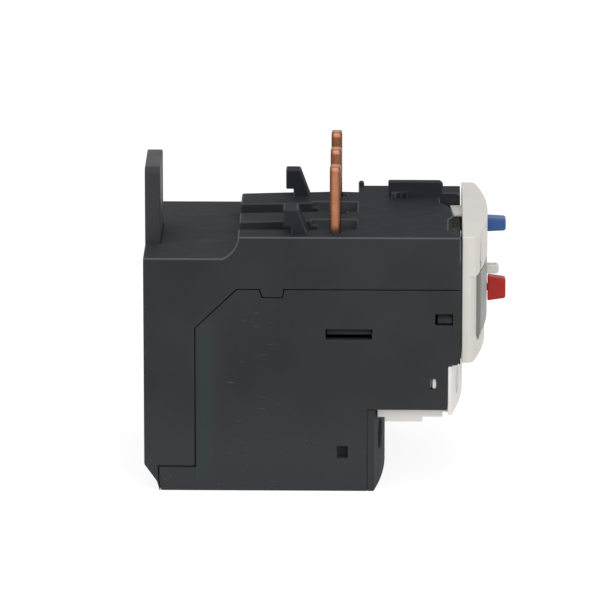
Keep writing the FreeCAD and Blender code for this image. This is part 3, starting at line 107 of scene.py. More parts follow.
# %% [markdown]
# ## Finishes
# A material here is a small graph of nodes on a Principled shader. The patterns read Object coordinates, so a
# grain of a tenth of a millimetre stays a tenth of a millimetre on every piece. A new material and a few
# helpers that add nodes keep each finish down to the lines that make it special.

# %% Helpers that build a material
def new_material(name):
    finish = bpy.data.materials.new(name)
    finish.use_nodes = True
    finish.node_tree.nodes.clear()
    output = finish.node_tree.nodes.new("ShaderNodeOutputMaterial")
    shader = finish.node_tree.nodes.new("ShaderNodeBsdfPrincipled")
    finish.node_tree.links.new(shader.outputs["BSDF"], output.inputs["Surface"])
    return finish, shader


def place_pattern(finish, stretch=(1, 1, 1)):
    tree = finish.node_tree
    where = tree.nodes.new("ShaderNodeTexCoord")
    mapping = tree.nodes.new("ShaderNodeMapping")
    mapping.inputs["Scale"].default_value = stretch
    tree.links.new(where.outputs["Object"], mapping.inputs["Vector"])
    return mapping.outputs["Vector"]


def noise(finish, place, grain, detail=2.0, roughness=0.5):
    """A noise whose blotches are about grain metres wide."""
    tree = finish.node_tree
    pattern = tree.nodes.new("ShaderNodeTexNoise")
    pattern.inputs["Scale"].default_value = 1 / grain
    pattern.inputs["Detail"].default_value = detail
    pattern.inputs["Roughness"].default_value = roughness
    tree.links.new(place, pattern.inputs["Vector"])
    return pattern.outputs["Fac"]


def blend_colours(finish, factor, stops):
    """Turns a factor into a colour through (position, colour) stops."""
    tree = finish.node_tree
    ramp = tree.nodes.new("ShaderNodeValToRGB")
    while len(ramp.color_ramp.elements) < len(stops):
        ramp.color_ramp.elements.new(0.5)
    for element, (position, colour) in zip(ramp.color_ramp.elements, stops):
        element.position = position
        element.color = (*colour, 1)
    tree.links.new(factor, ramp.inputs["Fac"])
    return ramp.outputs["Color"]


def remap(finish, factor, low, high, low_out, high_out):
    tree = finish.node_tree
    change = tree.nodes.new("ShaderNodeMapRange")
    change.inputs["From Min"].default_value = low
    change.inputs["From Max"].default_value = high
    change.inputs["To Min"].default_value = low_out
    change.inputs["To Max"].default_value = high_out
    tree.links.new(factor, change.inputs["Value"])
    return change.outputs["Result"]


def bump(finish, shader, height, depth, under=None):
    """Adds a bump of a real depth in metres, on top of an earlier one if there is one."""
    tree = finish.node_tree
    relief = tree.nodes.new("ShaderNodeBump")
    relief.inputs["Distance"].default_value = depth
    tree.links.new(height, relief.inputs["Height"])
    if under is not None:
        tree.links.new(under, relief.inputs["Normal"])
    tree.links.new(relief.outputs["Normal"], shader.inputs["Normal"])
    return relief.outputs["Normal"]


def shade(colour, factor):
    return tuple(channel * factor for channel in colour)


def times(finish, first, second):
    product = finish.node_tree.nodes.new("ShaderNodeMath")
    product.operation = "MULTIPLY"
    finish.node_tree.links.new(first, product.inputs[0])
    finish.node_tree.links.new(second, product.inputs[1])
    return product.outputs["Value"]


def overlay(finish, below, colour, factor):
    """Lays a colour over another one, as much as the factor says."""
    mix = finish.node_tree.nodes.new("ShaderNodeMix")
    mix.data_type = "RGBA"
    mix.inputs[7].default_value = (*colour, 1)
    finish.node_tree.links.new(factor, mix.inputs[0])
    finish.node_tree.links.new(below, mix.inputs[6])
    return mix.outputs[2]


def region(finish, soft, **spans):
    """A factor that is 1 inside a box given as x=(low, high) and so on, and fades over soft metres."""
    tree = finish.node_tree
    where = tree.nodes.new("ShaderNodeTexCoord")
    split = tree.nodes.new("ShaderNodeSeparateXYZ")
    tree.links.new(where.outputs["Object"], split.inputs[0])
    inside = None
    for axis, (low, high) in spans.items():
        for edge, fades_in in ((low, True), (high, False)):
            ends = (0.0, 1.0) if fades_in else (1.0, 0.0)
            ramp = remap(finish, split.outputs[axis.upper()], edge - soft, edge + soft, *ends)
            inside = ramp if inside is None else times(finish, inside, ramp)
    return inside


# %% [markdown]
# The housing, its terminals and its covers are glass-filled polyamide. The mould gives it a fine satin grain,
# the fibres give slow cloudy changes of tone, and handling leaves faint rubbed streaks. Three noises at three
# real sizes do that: cloud, streak and grain.

# %% Moulded plastic
def moulded_plastic(name, colour, roughness, gloss=0.5, streaks=0.12, cloud=0.10):
    finish, shader = new_material(name)
    place = place_pattern(finish)
    clouds = noise(finish, place, mm(14), 3)
    rubbed = noise(finish, place_pattern(finish, (1, 0.35, 2.2)), mm(1.6), 4, 0.65)
    tone = blend_colours(finish, clouds, [
        (0.30, shade(colour, 1 - cloud)), (0.70, shade(colour, 1 + cloud)),
    ])
    lighter = tuple(min(1.0, channel * 1.15 + 0.015) for channel in colour)
    tone = overlay(finish, tone, lighter, remap(finish, rubbed, 0.56, 0.78, 0.0, streaks))
    finish.node_tree.links.new(tone, shader.inputs["Base Color"])
    finish.node_tree.links.new(remap(finish, rubbed, 0.35, 0.75, roughness + 0.05, roughness - 0.06),
                               shader.inputs["Roughness"])
    waves = bump(finish, shader, noise(finish, place, mm(5), 2), mm(0.020))
    bump(finish, shader, noise(finish, place, mm(0.16), 2, 0.6), mm(0.010), waves)
    shader.inputs["Specular IOR Level"].default_value = gloss
    return finish, shader, tone


# %% [markdown]
# The dark housing shows more of its life than the pale parts. Its side was rubbed in a box, which left a
# column of short level scratches and some dust low down, and by the seam it has a cool painted sheen. It is a
# little lighter all round towards the bottom, and from the deck up it has a darker, bluer painted shade. At the
# front of the deck, in the cut-out behind the cover, the plastic is grey and grainy. Each mark is laid over the
# plain plastic inside a soft-edged region.

# %% Housing plastic with its marks
def housing_plastic(name, colour, roughness):
    finish, shader, tone = moulded_plastic(name, colour, roughness, gloss=0.03, streaks=0.05)
    foot = region(finish, mm(6), z=(mm(-8), mm(15)))
    tone = overlay(finish, tone, (0.049, 0.053, 0.056), foot)
    # A cool painted sheen by the seam: a lighter teal band in the base colour.
    painted_sheen = region(finish, mm(1.2), x=near_side, y=(seam_y - mm(4), seam_y), z=(mm(2), mm(36)))
    tone = overlay(finish, tone, (0.046, 0.058, 0.066), remap(finish, painted_sheen, 0.0, 1.0, 0.0, 0.55))
    worn = region(finish, mm(2.5), x=near_side, y=(seam_y - mm(18), seam_y - mm(5)), z=(mm(0), mm(40)))
    lines = noise(finish, place_pattern(finish, (1, 0.14, 1)), mm(0.45), 2, 0.6)
    scratches = times(finish, remap(finish, lines, 0.66, 0.76, 0.0, 0.6), worn)
    tone = overlay(finish, tone, (0.105, 0.118, 0.140), scratches)
    specks = noise(finish, place_pattern(finish), mm(0.55), 1, 0.5)
    low_side = region(finish, mm(6), x=near_side, z=(mm(-8), mm(14)))
    dust = times(finish, remap(finish, specks, 0.745, 0.78, 0.0, 0.7), low_side)
    tone = overlay(finish, tone, (0.16, 0.16, 0.15), dust)
    # Painted shade: the deck and everything above it are darker and bluer than the sides.
    deck = region(finish, mm(0.15), z=(deck_z - mm(0.3), deck_z + mm(9)))
    tone = overlay(finish, tone, (0.026, 0.030, 0.037), deck)
    cut_out = region(finish, mm(0.5), x=(mm(-17.5), mm(-6)), y=(side_low.y - mm(1), side_low.y + mm(2.6)),
                     z=(deck_z - mm(3.5), deck_z - mm(0.4)))
    grains = noise(finish, place_pattern(finish), mm(0.30), 3, 0.8)
    grit = times(finish, remap(finish, grains, 0.48, 0.60, 0.0, 0.85), cut_out)
    tone = overlay(finish, tone, (0.140, 0.150, 0.120), grit)
    finish.node_tree.links.new(tone, shader.inputs["Base Color"])
    return finish


# %% [markdown]
# The housing's edges get a finish of their own, with a painted highlight: along the deck they are painted
# paler, and palest on the near rim.

# %% Edges with a painted highlight
def edge_highlight_plastic(name, colour, roughness):
    finish, shader, tone = moulded_plastic(name, colour, roughness, gloss=0.06, streaks=0.3)
    # Painted highlight: paler along the deck's edges, palest on the near rim.
    deck_edge_highlight = region(finish, mm(0.5), z=(deck_z - mm(1.2), deck_z + mm(1)))
    tone = overlay(finish, tone, (0.066, 0.071, 0.079), deck_edge_highlight)
    near_rim_highlight = region(finish, mm(0.4), x=(cad_low.x - mm(1), cad_low.x + mm(0.8)),
                      z=(deck_z - mm(5.2), deck_z + mm(1)))
    tone = overlay(finish, tone, (0.095, 0.102, 0.112), near_rim_highlight)
    finish.node_tree.links.new(tone, shader.inputs["Base Color"])
    return finish


# %% [markdown]
# The knobs, the dial and the flag are glossier: a smooth mould, a little unevenness in the shine and no
# streaks.

# %% Glossy plastic
def gloss_plastic(name, colour, roughness=0.28, gloss=0.5):
    finish, shader = new_material(name)
    place = place_pattern(finish)
    tone = blend_colours(finish, noise(finish, place, mm(2.2), 3), [
        (0.30, shade(colour, 0.93)), (0.70, shade(colour, 1.06)),
    ])
    finish.node_tree.links.new(tone, shader.inputs["Base Color"])
    finish.node_tree.links.new(
        remap(finish, noise(finish, place, mm(0.7), 4), 0.3, 0.7, roughness - 0.04, roughness + 0.08),
        shader.inputs["Roughness"])
    bump(finish, shader, noise(finish, place, mm(0.25), 2), mm(0.004))
    shader.inputs["Specular IOR Level"].default_value = gloss
    return finish


# %% [markdown]
# Metal parts are seen edge-on or deep in a terminal, so their brightness comes from reflections. Rolling and
# drawing leave lines along the strip, made by a noise that is stretched along one axis.

# %% Metals
def drawn_metal(name, colour, along, roughness=0.3, lines=mm(0.12), stain=0.12, unshaded_band=None):
    finish, shader = new_material(name)
    shader.inputs["Metallic"].default_value = 1.0
    stretch = tuple(0.04 if axis == along else 1.0 for axis in "XYZ")
    drawn = noise(finish, place_pattern(finish, stretch), lines, 3, 0.6)
    blotch = noise(finish, place_pattern(finish), mm(1.8), 4, 0.6)
    tone = blend_colours(finish, blotch, [
        (0.32, shade(colour, 1 - stain)), (0.68, shade(colour, 1 + stain * 0.5)),
    ])
    # Outside the band given here, across y at the pins' middle, the colour is painted much darker: a painted
    # shade on the rounded sides of the copper pins.
    if unshaded_band is not None:
        edge = finish.node_tree.nodes.new("ShaderNodeMath")
        edge.operation = "SUBTRACT"
        edge.inputs[0].default_value = 0.85
        finish.node_tree.links.new(region(finish, mm(0.30), y=unshaded_band), edge.inputs[1])
        tone = overlay(finish, tone, shade(colour, 0.30), edge.outputs["Value"])
    finish.node_tree.links.new(tone, shader.inputs["Base Color"])
    finish.node_tree.links.new(
        remap(finish, drawn, 0.3, 0.7, roughness - 0.07, roughness + 0.10), shader.inputs["Roughness"])
    bump(finish, shader, drawn, mm(0.006))
    return finish


# %% [markdown]
# The flap over the setting dial is milky grey plastic. A little transmission with a rough surface softens
# it, and the base colour gives it its body.

# %% Milky plastic
def milky_plastic(name, colour, roughness=0.36):
    finish, shader = new_material(name)
    place = place_pattern(finish)
    shader.inputs["Transmission Weight"].default_value = 0.30
    shader.inputs["IOR"].default_value = 1.49
    tone = blend_colours(finish, noise(finish, place, mm(6), 2), [
        (0.3, shade(colour, 0.94)), (0.7, colour),
    ])
    finish.node_tree.links.new(tone, shader.inputs["Base Color"])
    finish.node_tree.links.new(
        remap(finish, noise(finish, place, mm(3), 2), 0.35, 0.7, roughness, roughness + 0.08),
        shader.inputs["Roughness"])
    bump(finish, shader, noise(finish, place, mm(4), 2), mm(0.008))
    return finish


# %% Make one finish for each material slot
blade_y = (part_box("phase_pin_right")[0].y + mm(1.1))
finishes = {
    "housing_dark": housing_plastic("housing_dark", (0.0385, 0.0415, 0.0425), 0.62),
    "housing_edge": edge_highlight_plastic("housing_edge", (0.040, 0.043, 0.045), 0.50),
    "tab_dark": moulded_plastic("tab_dark", (0.040, 0.040, 0.044), 0.50, gloss=0.2)[0],
    "cover_light": moulded_plastic("cover_light", (0.70, 0.665, 0.62), 0.42, streaks=0.25, cloud=0.03)[0],
    "block_light": moulded_plastic("block_light", (0.82, 0.795, 0.765), 0.44, streaks=0.25, cloud=0.03)[0],
    "clear_flap": milky_plastic("clear_flap", (0.27, 0.27, 0.255)),
    "dial_white": gloss_plastic("dial_white", (0.74, 0.74, 0.71)),
    "reset_blue": gloss_plastic("reset_blue", (0.033, 0.100, 0.285), 0.40, 0.3),
    "stop_red": gloss_plastic("stop_red", (0.41, 0.017, 0.010), 0.40, 0.3),
    "test_cap": gloss_plastic("test_cap", (0.41, 0.017, 0.010), 0.40, 0.3),
    "copper": drawn_metal("copper", (0.43, 0.18, 0.10), "Z", 0.30,
                          unshaded_band=(blade_y - mm(0.55), blade_y + mm(0.55))),
    "screw_steel": drawn_metal("screw_steel", (0.58, 0.58, 0.55), "X", 0.30),
    "clamp_steel": drawn_metal("clamp_steel", (0.52, 0.50, 0.46), "X", 0.34),
    "spring_steel": drawn_metal("spring_steel", (0.46, 0.46, 0.46), "Y", 0.28),
    "bimetal": drawn_metal("bimetal", (0.50, 0.47, 0.42), "Z", 0.34),
    "heater": drawn_metal("heater", (0.40, 0.35, 0.29), "X", 0.42),
    "silver_contact": drawn_metal("silver_contact", (0.66, 0.54, 0.40), "X", 0.30),
    "works_plastic": moulded_plastic("works_plastic", (0.26, 0.21, 0.14), 0.45)[0],
    "flag_orange": gloss_plastic("flag_orange", (0.62, 0.20, 0.025), 0.36),
    "pivot_steel": drawn_metal("pivot_steel", (0.50, 0.50, 0.51), "Y", 0.26),
    "scale_ink": gloss_plastic("scale_ink", (0.020, 0.021, 0.023), 0.50),
}
print("finishes:", len(finishes))

# %% [markdown]
# ## Moulded edges
# No moulded edge is sharp: the mould's own edge leaves a radius of a tenth or two, and that radius is what
# catches the light. Modelling every fillet in CAD would be slow, and a bevel of every edge folds over itself
# in the tight corners of a moulding. So a copy of each solid is welded, its flat faces are merged, and only
# the outward edges get a bevel weight. A trial bevel then shows where it strays from the solid or turns a
# face inside out, and the edges there lose their weight until the trial is clean.

# %% Find the faults of a trial bevel
def bevel_faults(piece, solid, radius):
    bpy.context.view_layer.update()
    graph = bpy.context.evaluated_depsgraph_get()
    trial = piece.evaluated_get(graph).to_mesh()
    faults = []
    for face in trial.polygons:
        normal = solid.find_nearest(face.center)[1]
        if face.area > 1e-11 and normal.dot(face.normal) < -0.1:
            faults.append(face.center.copy())
    for point in trial.vertices:
        spot, normal, _, distance = solid.find_nearest(point.co)
        if distance > radius * 0.8 or (point.co - spot).dot(normal) > mm(0.03):
            faults.append(point.co.copy())
    piece.evaluated_get(graph).to_mesh_clear()
    return faults


def distance_to_edge(point, edge):
    start, end = edge.verts[0].co, edge.verts[1].co
    spot, place = intersect_point_line(point, start, end)
    return (point - start.lerp(end, max(0.0, min(1.0, place)))).length


# %% [markdown]
# The bevel gives its new faces the second material of the piece. On the dark housing that is the finish with
# the painted edge highlight. Elsewhere it is the piece's own.

# %% Helper that rounds the edges of a CAD solid
edge_highlight_finish = {"housing_dark": "housing_edge"}


def rounded_copy(node, radius, steps=3, angle=30, tries=4):
    mesh = nodes[node].data.copy()
    mesh.materials.clear()
    for name in (slot_of[node], edge_highlight_finish.get(slot_of[node], slot_of[node])):
        mesh.materials.append(finishes[name])
    shape = bmesh.new()
    shape.from_mesh(mesh)
    bmesh.ops.remove_doubles(shape, verts=shape.verts, dist=mm(0.002))
    bmesh.ops.dissolve_limit(shape, angle_limit=math.radians(1.0), verts=shape.verts, edges=shape.edges)
    solid = BVHTree.FromBMesh(shape)
    weight = shape.edges.layers.float.new("bevel_weight_edge")
    for edge in shape.edges:
        if len(edge.link_faces) == 2 and edge.calc_face_angle_signed(0) > math.radians(angle):
            edge[weight] = 1
    for face in shape.faces:
        face.smooth = True
    piece = bpy.data.objects.new(node + "_rounded", mesh)
    bpy.context.collection.objects.link(piece)
    edges = piece.modifiers.new("edges", "BEVEL")
    edges.width = radius
    edges.segments = steps
    edges.limit_method = "WEIGHT"
    edges.use_clamp_overlap = False
    edges.miter_outer = "MITER_ARC"
    edges.material = 1
    for _ in range(tries):
        shape.to_mesh(mesh)
        faults = bevel_faults(piece, solid, radius)
        if not faults:
            break
        for edge in shape.edges:
            if edge[weight] > 0 and any(distance_to_edge(fault, edge) < radius * 1.5 for fault in faults):
                edge[weight] = 0
    shape.to_mesh(mesh)
    shape.free()
    for edge in mesh.edges:
        edge.use_edge_sharp = False
    mesh.set_sharp_from_angle(angle=math.radians(angle))
    flat = piece.modifiers.new("flat_faces", "WEIGHTED_NORMAL")
    flat.keep_sharp = True
    return piece


def bake(piece):
    """Turns the piece and its modifiers into one plain mesh."""
    bpy.context.view_layer.update()
    graph = bpy.context.evaluated_depsgraph_get()
    mesh = bpy.data.meshes.new_from_object(piece.evaluated_get(graph), preserve_all_data_layers=True,
                                           depsgraph=graph)
    piece.modifiers.clear()
    piece.data = mesh
    return piece


def finish_piece(piece, node_names, body, slot_name):
    """Gives a finished piece its material if it has none, puts it on its CAD body and hides its nodes."""
    if not piece.data.materials:
        piece.data.materials.append(finishes[slot_name])
    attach(piece, body)
    if node_names:
        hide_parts(*node_names)
    return piece


# %% Round the moulded pieces
edge_radius = {
    "main_housing": mm(0.28),
    "side_cover": mm(0.16),
    "power_terminal_block": mm(0.18),
    "aux_terminal_block": mm(0.18),
    "front_cover": mm(0.22),
    "rear_tab": mm(0.25),
    "dial_flap": mm(0.15),
    "current_dial": mm(0.15),
    "reset_knob": mm(0.35),
    "stop_button": mm(0.30),
    "test_button": mm(0.15),
    "reset_plunger": mm(0.10),
    "trip_flag": mm(0.12),
}
for phase in ("left", "middle", "right"):
    edge_radius["phase_pin_" + phase] = mm(0.45)
    edge_radius["load_strap_" + phase] = mm(0.15)
    edge_radius["power_screw_" + phase] = mm(0.20)
    edge_radius["power_clamp_" + phase] = mm(0.15)
for node, radius in edge_radius.items():
    piece = bake(rounded_copy(node, radius))
    finish_piece(piece, [node], body_of_node[node], slot_of[node])
print("rounded pieces:", len(edge_radius))

# %% [markdown]
# ## Springs
# The CAD springs are square-wire coils, cheap enough for the physics. Here each is wound anew from round wire
# by one Geometry Nodes tree: a spiral, swept by a circle. Radius, wire, turns and length are the tree's
# inputs, so the four springs differ only in numbers.

# %% The tree that winds a spring
def node_group(name, inputs):
    group = bpy.data.node_groups.new(name, "GeometryNodeTree")
    for label, kind, default in inputs:
        socket = group.interface.new_socket(label, in_out="INPUT", socket_type=kind)
        if default is not None:
            socket.default_value = default
    group.interface.new_socket("Geometry", in_out="OUTPUT", socket_type="NodeSocketGeometry")
    return group, group.nodes.new("NodeGroupInput"), group.nodes.new("NodeGroupOutput")


def end_tree(group, shape, given, out):
    """Realize Instances, then Set Material, then the output."""
    whole = group.nodes.new("GeometryNodeRealizeInstances")
    dress = group.nodes.new("GeometryNodeSetMaterial")
    group.links.new(shape, whole.inputs["Geometry"])
    group.links.new(whole.outputs["Geometry"], dress.inputs["Geometry"])
    group.links.new(given.outputs["Material"], dress.inputs["Material"])
    group.links.new(dress.outputs["Geometry"], out.inputs["Geometry"])


spring_tree, given, out = node_group("wind_spring", [
    ("Radius", "NodeSocketFloat", mm(3)), ("Wire", "NodeSocketFloat", mm(0.4)),
    ("Turns", "NodeSocketFloat", 3.0), ("Length", "NodeSocketFloat", mm(3)),
    ("Material", "NodeSocketMaterial", None),
])
spiral = spring_tree.nodes.new("GeometryNodeCurveSpiral")
spiral.inputs["Resolution"].default_value = 40
wire = spring_tree.nodes.new("GeometryNodeCurvePrimitiveCircle")
wire.inputs["Resolution"].default_value = 12
halve = spring_tree.nodes.new("ShaderNodeMath")
halve.operation = "MULTIPLY"
halve.inputs[1].default_value = 0.5
sweep = spring_tree.nodes.new("GeometryNodeCurveToMesh")
sweep.inputs["Fill Caps"].default_value = True
links = spring_tree.links
links.new(given.outputs["Turns"], spiral.inputs["Rotations"])
links.new(given.outputs["Radius"], spiral.inputs["Start Radius"])
links.new(given.outputs["Radius"], spiral.inputs["End Radius"])
links.new(given.outputs["Length"], spiral.inputs["Height"])
links.new(given.outputs["Wire"], halve.inputs[0])
links.new(halve.outputs["Value"], wire.inputs["Radius"])
links.new(spiral.outputs["Curve"], sweep.inputs["Curve"])
links.new(wire.outputs["Curve"], sweep.inputs["Profile Curve"])
end_tree(spring_tree, sweep.outputs["Mesh"], given, out)


def grow(name, tree, **values):
    """An object with a tree on it, its inputs set by socket identifier."""
    piece = bpy.data.objects.new(name, bpy.data.meshes.new(name))
    bpy.context.collection.objects.link(piece)
    maker = piece.modifiers.new("grow", "NODES")
    maker.node_group = tree
    for item in tree.interface.items_tree:
        if item.in_out == "INPUT" and item.name in values:
            maker[item.identifier] = values[item.name]
    return piece


# %% [markdown]
# The record says which joint shortens each spring and where its fixed end is. The loop looks up that end
# for each spring and gives each spring a mesh of its own.

# %% Wind the four springs
presser = {}
for joint in frame["record"]["behaviour"]["joints"]:
    for item in joint.get("deforming_nodes", []):
        presser[item["node"]] = (joint, item)
wire_size = mm(0.4)
for node, turns, axis in (("reset_spring", 2.5, "Y"), ("stop_spring", 4.0, "Y"), ("test_spring", 3.0, "Y"),
                          ("carrier_spring", 4.0, "Z")):
    low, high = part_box(node)
    across = (high - low).z if axis == "Y" else (high - low).x
    along = (high - low).y if axis == "Y" else (high - low).z
    middle = (low + high) / 2
    piece = grow(node + "_wound", spring_tree, Radius=(across - wire_size) / 2, Wire=wire_size, Turns=turns,
                 Length=along - wire_size, Material=finishes["spring_steel"])
    bake(piece)
    start = Matrix.Translation((0, 0, wire_size / 2 - along / 2))
    turn = Matrix.Rotation(math.radians(90), 4, "X") if axis == "Y" else Matrix.Identity(4)
    piece.data.transform(Matrix.Translation(middle) @ turn @ start)
    piece.data.shade_smooth()
    finish_piece(piece, [node], body_of_node[node], slot_of[node])
    joint, item = presser[node]
    anchor = middle.copy()
    anchor["XYZ".index(axis)] = item["fixed_end_" + axis.lower() + "_m"]
    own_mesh(piece)

# %% [markdown]
# ## Dial scale and catches
# The setting scale is an arc of printed strokes on the cover, round the white dial. A second tree sets them
# out, with every third one longer. The recess has room for them on the right and below, so the arc is
# turned there.

# %% The tree that spaces the strokes
scale_tree, given, out = node_group("scale_strokes", [
    ("Count", "NodeSocketInt", 16), ("Radius", "NodeSocketFloat", mm(5.85)),
    ("Sweep", "NodeSocketFloat", 3.75), ("Material", "NodeSocketMaterial", None),
])
links = scale_tree.links


def scale_math(operation, first, second):
    node = scale_tree.nodes.new("ShaderNodeMath")
    node.operation = operation
    for socket, value in zip(node.inputs, (first, second)):
        if isinstance(value, (int, float)):
            socket.default_value = value
        elif value is not None:
            links.new(value, socket)
    return node.outputs["Value"]


index = scale_tree.nodes.new("GeometryNodeInputIndex").outputs["Index"]
share = scale_math("DIVIDE", index, scale_math("SUBTRACT", given.outputs["Count"], 1))
angle = scale_math("MULTIPLY", scale_math("SUBTRACT", share, 0.5), given.outputs["Sweep"])
points = scale_tree.nodes.new("GeometryNodePoints")
links.new(given.outputs["Count"], points.inputs["Count"])
spot = scale_tree.nodes.new("ShaderNodeCombineXYZ")
for axis, turn in (("X", "SINE"), ("Z", "COSINE")):
    reach_along = scale_math("MULTIPLY", scale_math(turn, angle, None), given.outputs["Radius"])
    links.new(reach_along, spot.inputs[axis])
links.new(spot.outputs["Vector"], points.inputs["Position"])
stroke = scale_tree.nodes.new("GeometryNodeMeshGrid")
stroke.inputs["Size X"].default_value = mm(0.16)
stroke.inputs["Size Y"].default_value = mm(0.30)
stroke.inputs["Vertices X"].default_value = 2
stroke.inputs["Vertices Y"].default_value = 4
stand = scale_tree.nodes.new("ShaderNodeCombineXYZ")
stand.inputs["X"].default_value = math.radians(90)
links.new(angle, stand.inputs["Y"])
stretch = scale_tree.nodes.new("ShaderNodeCombineXYZ")
stretch.inputs["X"].default_value = 1
stretch.inputs["Z"].default_value = 1
third = scale_math("COMPARE", scale_math("MODULO", index, 3), 0)
links.new(scale_math("ADD", scale_math("MULTIPLY", third, 0.4), 1), stretch.inputs["Y"])
copies = scale_tree.nodes.new("GeometryNodeInstanceOnPoints")
links.new(points.outputs["Points"], copies.inputs["Points"])
links.new(stroke.outputs["Mesh"], copies.inputs["Instance"])
links.new(stand.outputs["Vector"], copies.inputs["Rotation"])
links.new(stretch.outputs["Vector"], copies.inputs["Scale"])
end_tree(scale_tree, copies.outputs["Instances"], given, out)

# %% [markdown]
# The strokes start in front of the cover, and Shrinkwrap lays them straight back on the crowned floor of
# the recess.

# %% Print the scale on the cover
scale_turn = math.radians(137)
dial_low, dial_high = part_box("current_dial")
dial_middle = (dial_low + dial_high) / 2
scale = bake(grow("dial_scale", scale_tree, Count=16, Radius=(dial_high.x - dial_low.x) / 2 + mm(0.85),
                  Sweep=3.75, Material=finishes["scale_ink"]))
scale.data.transform(Matrix.Translation((dial_middle.x, cad_low.y - mm(5), dial_middle.z))
                     @ Matrix.Rotation(scale_turn, 4, "Y"))
lay = scale.modifiers.new("lay", "SHRINKWRAP")
lay.target = bpy.data.objects["front_cover_rounded"]
lay.wrap_method = "PROJECT"
lay.use_project_x = False
lay.use_project_y = True
lay.use_project_z = False
lay.use_positive_direction = True
lay.use_negative_direction = False
lay.offset = mm(0.02)
bake(scale)
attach(scale, body_of_node["front_cover"])
depths = [vertex.co.y * 1000 for vertex in scale.data.vertices]
print("strokes lie between, in mm:", round(min(depths), 2), "and", round(max(depths), 2))

# %% [markdown]
# Behind the windows of the side cover sit the catches that hold it. Each is a small wedge with rounded edges:
# its top leads the cover in, its underside holds.

# %% Catches in the windows
def catch(name, low, high, slot_name, lead):
    shape = bmesh.new()
    outer, inner = low.x, high.x
    lead_end = low.z + (high.z - low.z) * 0.45
    corners = [(inner, high.z), (outer + lead, high.z), (outer, lead_end), (outer, low.z), (inner, low.z)]
    ends = [[shape.verts.new((x, y, z)) for x, z in corners] for y in (low.y, high.y)]
    shape.faces.new(ends[0])
    shape.faces.new(list(reversed(ends[1])))
    for number in range(len(corners)):
        after = (number + 1) % len(corners)
        shape.faces.new([ends[0][after], ends[0][number], ends[1][number], ends[1][after]])
    bmesh.ops.recalc_face_normals(shape, faces=shape.faces)
    bmesh.ops.bevel(shape, geom=list(shape.edges), offset=mm(0.12), segments=2, affect="EDGES", profile=0.5)
    mesh = bpy.data.meshes.new(name)
    shape.to_mesh(mesh)
    shape.free()
    mesh.shade_smooth()
    piece = bpy.data.objects.new(name, mesh)
    bpy.context.collection.objects.link(piece)
    mesh.materials.append(finishes[slot_name])
    return finish_piece(piece, [], body_of_node["main_housing"], slot_name)


front_top = Vector((side_low.x, side_low.y, side_high.z))
inner_top = Vector((side_high.x, side_low.y, side_high.z))
catch("front_catch", front_top + Vector((mm(0.5), mm(1.6), -mm(6.9))),
      inner_top + Vector((mm(1.0), mm(4.6), -mm(5.3))), "housing_dark", mm(0.7))
catch("long_catch", front_top + Vector((mm(1.2), mm(17.85), -mm(9.5))),
      inner_top + Vector((mm(0.5), mm(26.9), -mm(8.2))), "housing_dark", mm(0.6))
catch("low_catch", front_top + Vector((mm(0.5), mm(4.75), -mm(20.5))),
      inner_top + Vector((mm(0.6), mm(5.55), -mm(18.5))), "block_light", mm(0.2))
print("catches: 3")

# %% [markdown]
# The housing's front ends in a rim that the front cover seats on. Without it, daylight would show between
# the two.

# %% Rim behind the front cover
cover_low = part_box("front_cover")[0]
catch("front_rim", Vector((side_low.x + mm(0.5), side_low.y - mm(0.2), cover_low.z + mm(1))),
      Vector((side_low.x + mm(1.5), side_low.y + mm(0.6), side_high.z + mm(10))), "housing_dark", 0)

# %% [markdown]
# The pieces that need no rounding, most of them inside, keep their CAD solids and only get a finish.

# %% Give every other CAD node its finish
for name, cad_object in nodes.items():
    for material_slot in cad_object.material_slots:
        material_slot.material = finishes[slot_of[name]]
print("nodes with a finish:", len(nodes))

# %% [markdown]
# ## Room, light and camera
# The relay stands on a white sweep in a light tent. The tent is the world: pale all round, plain white to the
# camera and to reflections. The same switch serves the floor and the world.

# %% White to the camera, to gloss and to clear plastic
def seen_directly(tree):
    """1 for rays that show the surroundings themselves: from the camera, off gloss or through clear plastic."""
    path = tree.nodes.new("ShaderNodeLightPath")
    total = path.outputs["Is Camera Ray"]
    for kind in ("Is Glossy Ray", "Is Transmission Ray"):
        add = tree.nodes.new("ShaderNodeMath")
        add.operation = "MAXIMUM"
        tree.links.new(total, add.inputs[0])
        tree.links.new(path.outputs[kind], add.inputs[1])
        total = add.outputs["Value"]
    return total


# %% [markdown]
# The floor is white where it is seen and keeps the relay's soft shadow: a glow, and a little matt white on
# top of it that the shadow takes away.

# %% Floor
def white_ground():
    finish, shader = new_material("white_ground")
    tree = finish.node_tree
    shader.inputs["Base Color"].default_value = (0.80, 0.80, 0.80, 1)
    shader.inputs["Roughness"].default_value = 0.9
    glow = tree.nodes.new("ShaderNodeEmission")
    glow.inputs["Strength"].default_value = 0.86
    matt = tree.nodes.new("ShaderNodeBsdfDiffuse")
    matt.inputs["Color"].default_value = (0.26, 0.26, 0.26, 1)
    white = tree.nodes.new("ShaderNodeAddShader")
    choose = tree.nodes.new("ShaderNodeMixShader")
    tree.links.new(glow.outputs["Emission"], white.inputs[0])
    tree.links.new(matt.outputs["BSDF"], white.inputs[1])
    tree.links.new(seen_directly(tree), choose.inputs["Fac"])
    tree.links.new(shader.outputs["BSDF"], choose.inputs[1])
    tree.links.new(white.outputs["Shader"], choose.inputs[2])
    output = next(item for item in tree.nodes if item.type == "OUTPUT_MATERIAL")
    tree.links.new(choose.outputs["Shader"], output.inputs["Surface"])
    return finish


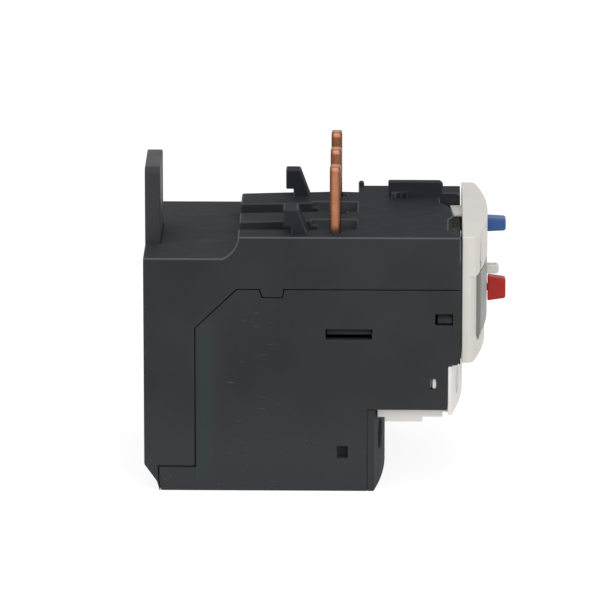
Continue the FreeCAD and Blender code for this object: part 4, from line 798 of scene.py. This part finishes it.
reach = 3.0
floor_mesh = bpy.data.meshes.new("floor")
floor_mesh.from_pydata([(-reach, -reach, 0), (reach, -reach, 0), (reach, reach, 0), (-reach, reach, 0)], [],
                       [(0, 1, 2, 3)])
floor_mesh.materials.append(white_ground())
floor = bpy.data.objects.new("floor", floor_mesh)
floor.location.z = cad_low.z - mm(0.05)
bpy.context.collection.objects.link(floor)
print("floor below the base, in mm:", round((cad_low.z - floor.location.z) * 1000, 2))

# %% [markdown]
# The world lights the relay evenly from all sides at half strength, and is plain white where it is seen.

# %% World
world = bpy.data.worlds.new("tent")
bpy.context.scene.world = world
world.use_nodes = True
tree = world.node_tree
tree.nodes.clear()
sky = tree.nodes.new("ShaderNodeBackground")
seen = tree.nodes.new("ShaderNodeBackground")
choose = tree.nodes.new("ShaderNodeMixShader")
world_out = tree.nodes.new("ShaderNodeOutputWorld")
sky.inputs["Color"].default_value = (1, 1, 1, 1)
sky.inputs["Strength"].default_value = 0.50
seen.inputs["Color"].default_value = (1, 1, 1, 1)
seen.inputs["Strength"].default_value = 1.0
tree.links.new(seen_directly(tree), choose.inputs["Fac"])
tree.links.new(sky.outputs["Background"], choose.inputs[1])
tree.links.new(seen.outputs["Background"], choose.inputs[2])
tree.links.new(choose.outputs["Shader"], world_out.inputs["Surface"])

# %% [markdown]
# Three large soft lamps give the edges their shine and the faces their slight differences.

# %% Lamps
centre = (cad_low + cad_high) / 2


def soft_lamp(name, place, side, watts):
    lamp = bpy.data.lights.new(name, "AREA")
    lamp.shape = "SQUARE"
    lamp.size = side
    lamp.energy = watts
    holder = bpy.data.objects.new(name, lamp)
    holder.location = centre + Vector(place)
    holder.rotation_euler = (-Vector(place)).to_track_quat("-Z", "Y").to_euler()
    bpy.context.collection.objects.link(holder)
    return holder


soft_lamp("top_lamp", (-0.15, 0.0, 0.45), 0.35, 0.50)
soft_lamp("near_lamp", (-0.5, -0.25, 0.25), 0.5, 1.35)
soft_lamp("rear_lamp", (-0.2, 0.5, 0.3), 0.4, 0.4)

# %% [markdown]
# The camera looks at the relay's left side from a little above, through a long lens that keeps its edges
# nearly parallel.

# %% Camera
camera_data = bpy.data.cameras.new("camera")
camera_data.lens = 402.9
camera_data.sensor_width = 36
camera_data.clip_start = 0.1
camera_data.clip_end = 20
camera = bpy.data.objects.new("camera", camera_data)
camera_turn = 0.0169
camera_tilt = 0.2739
camera.location = (-1.3164, -0.0153, 0.4036)
ahead = Vector((math.cos(camera_tilt) * math.cos(camera_turn),
                math.cos(camera_tilt) * math.sin(camera_turn), -math.sin(camera_tilt)))
camera.rotation_euler = ahead.to_track_quat("-Z", "Y").to_euler()
bpy.context.collection.objects.link(camera)
bpy.context.scene.camera = camera
bpy.context.scene.view_settings.view_transform = "Standard"
print("lens, in mm:", round(camera_data.lens, 1))
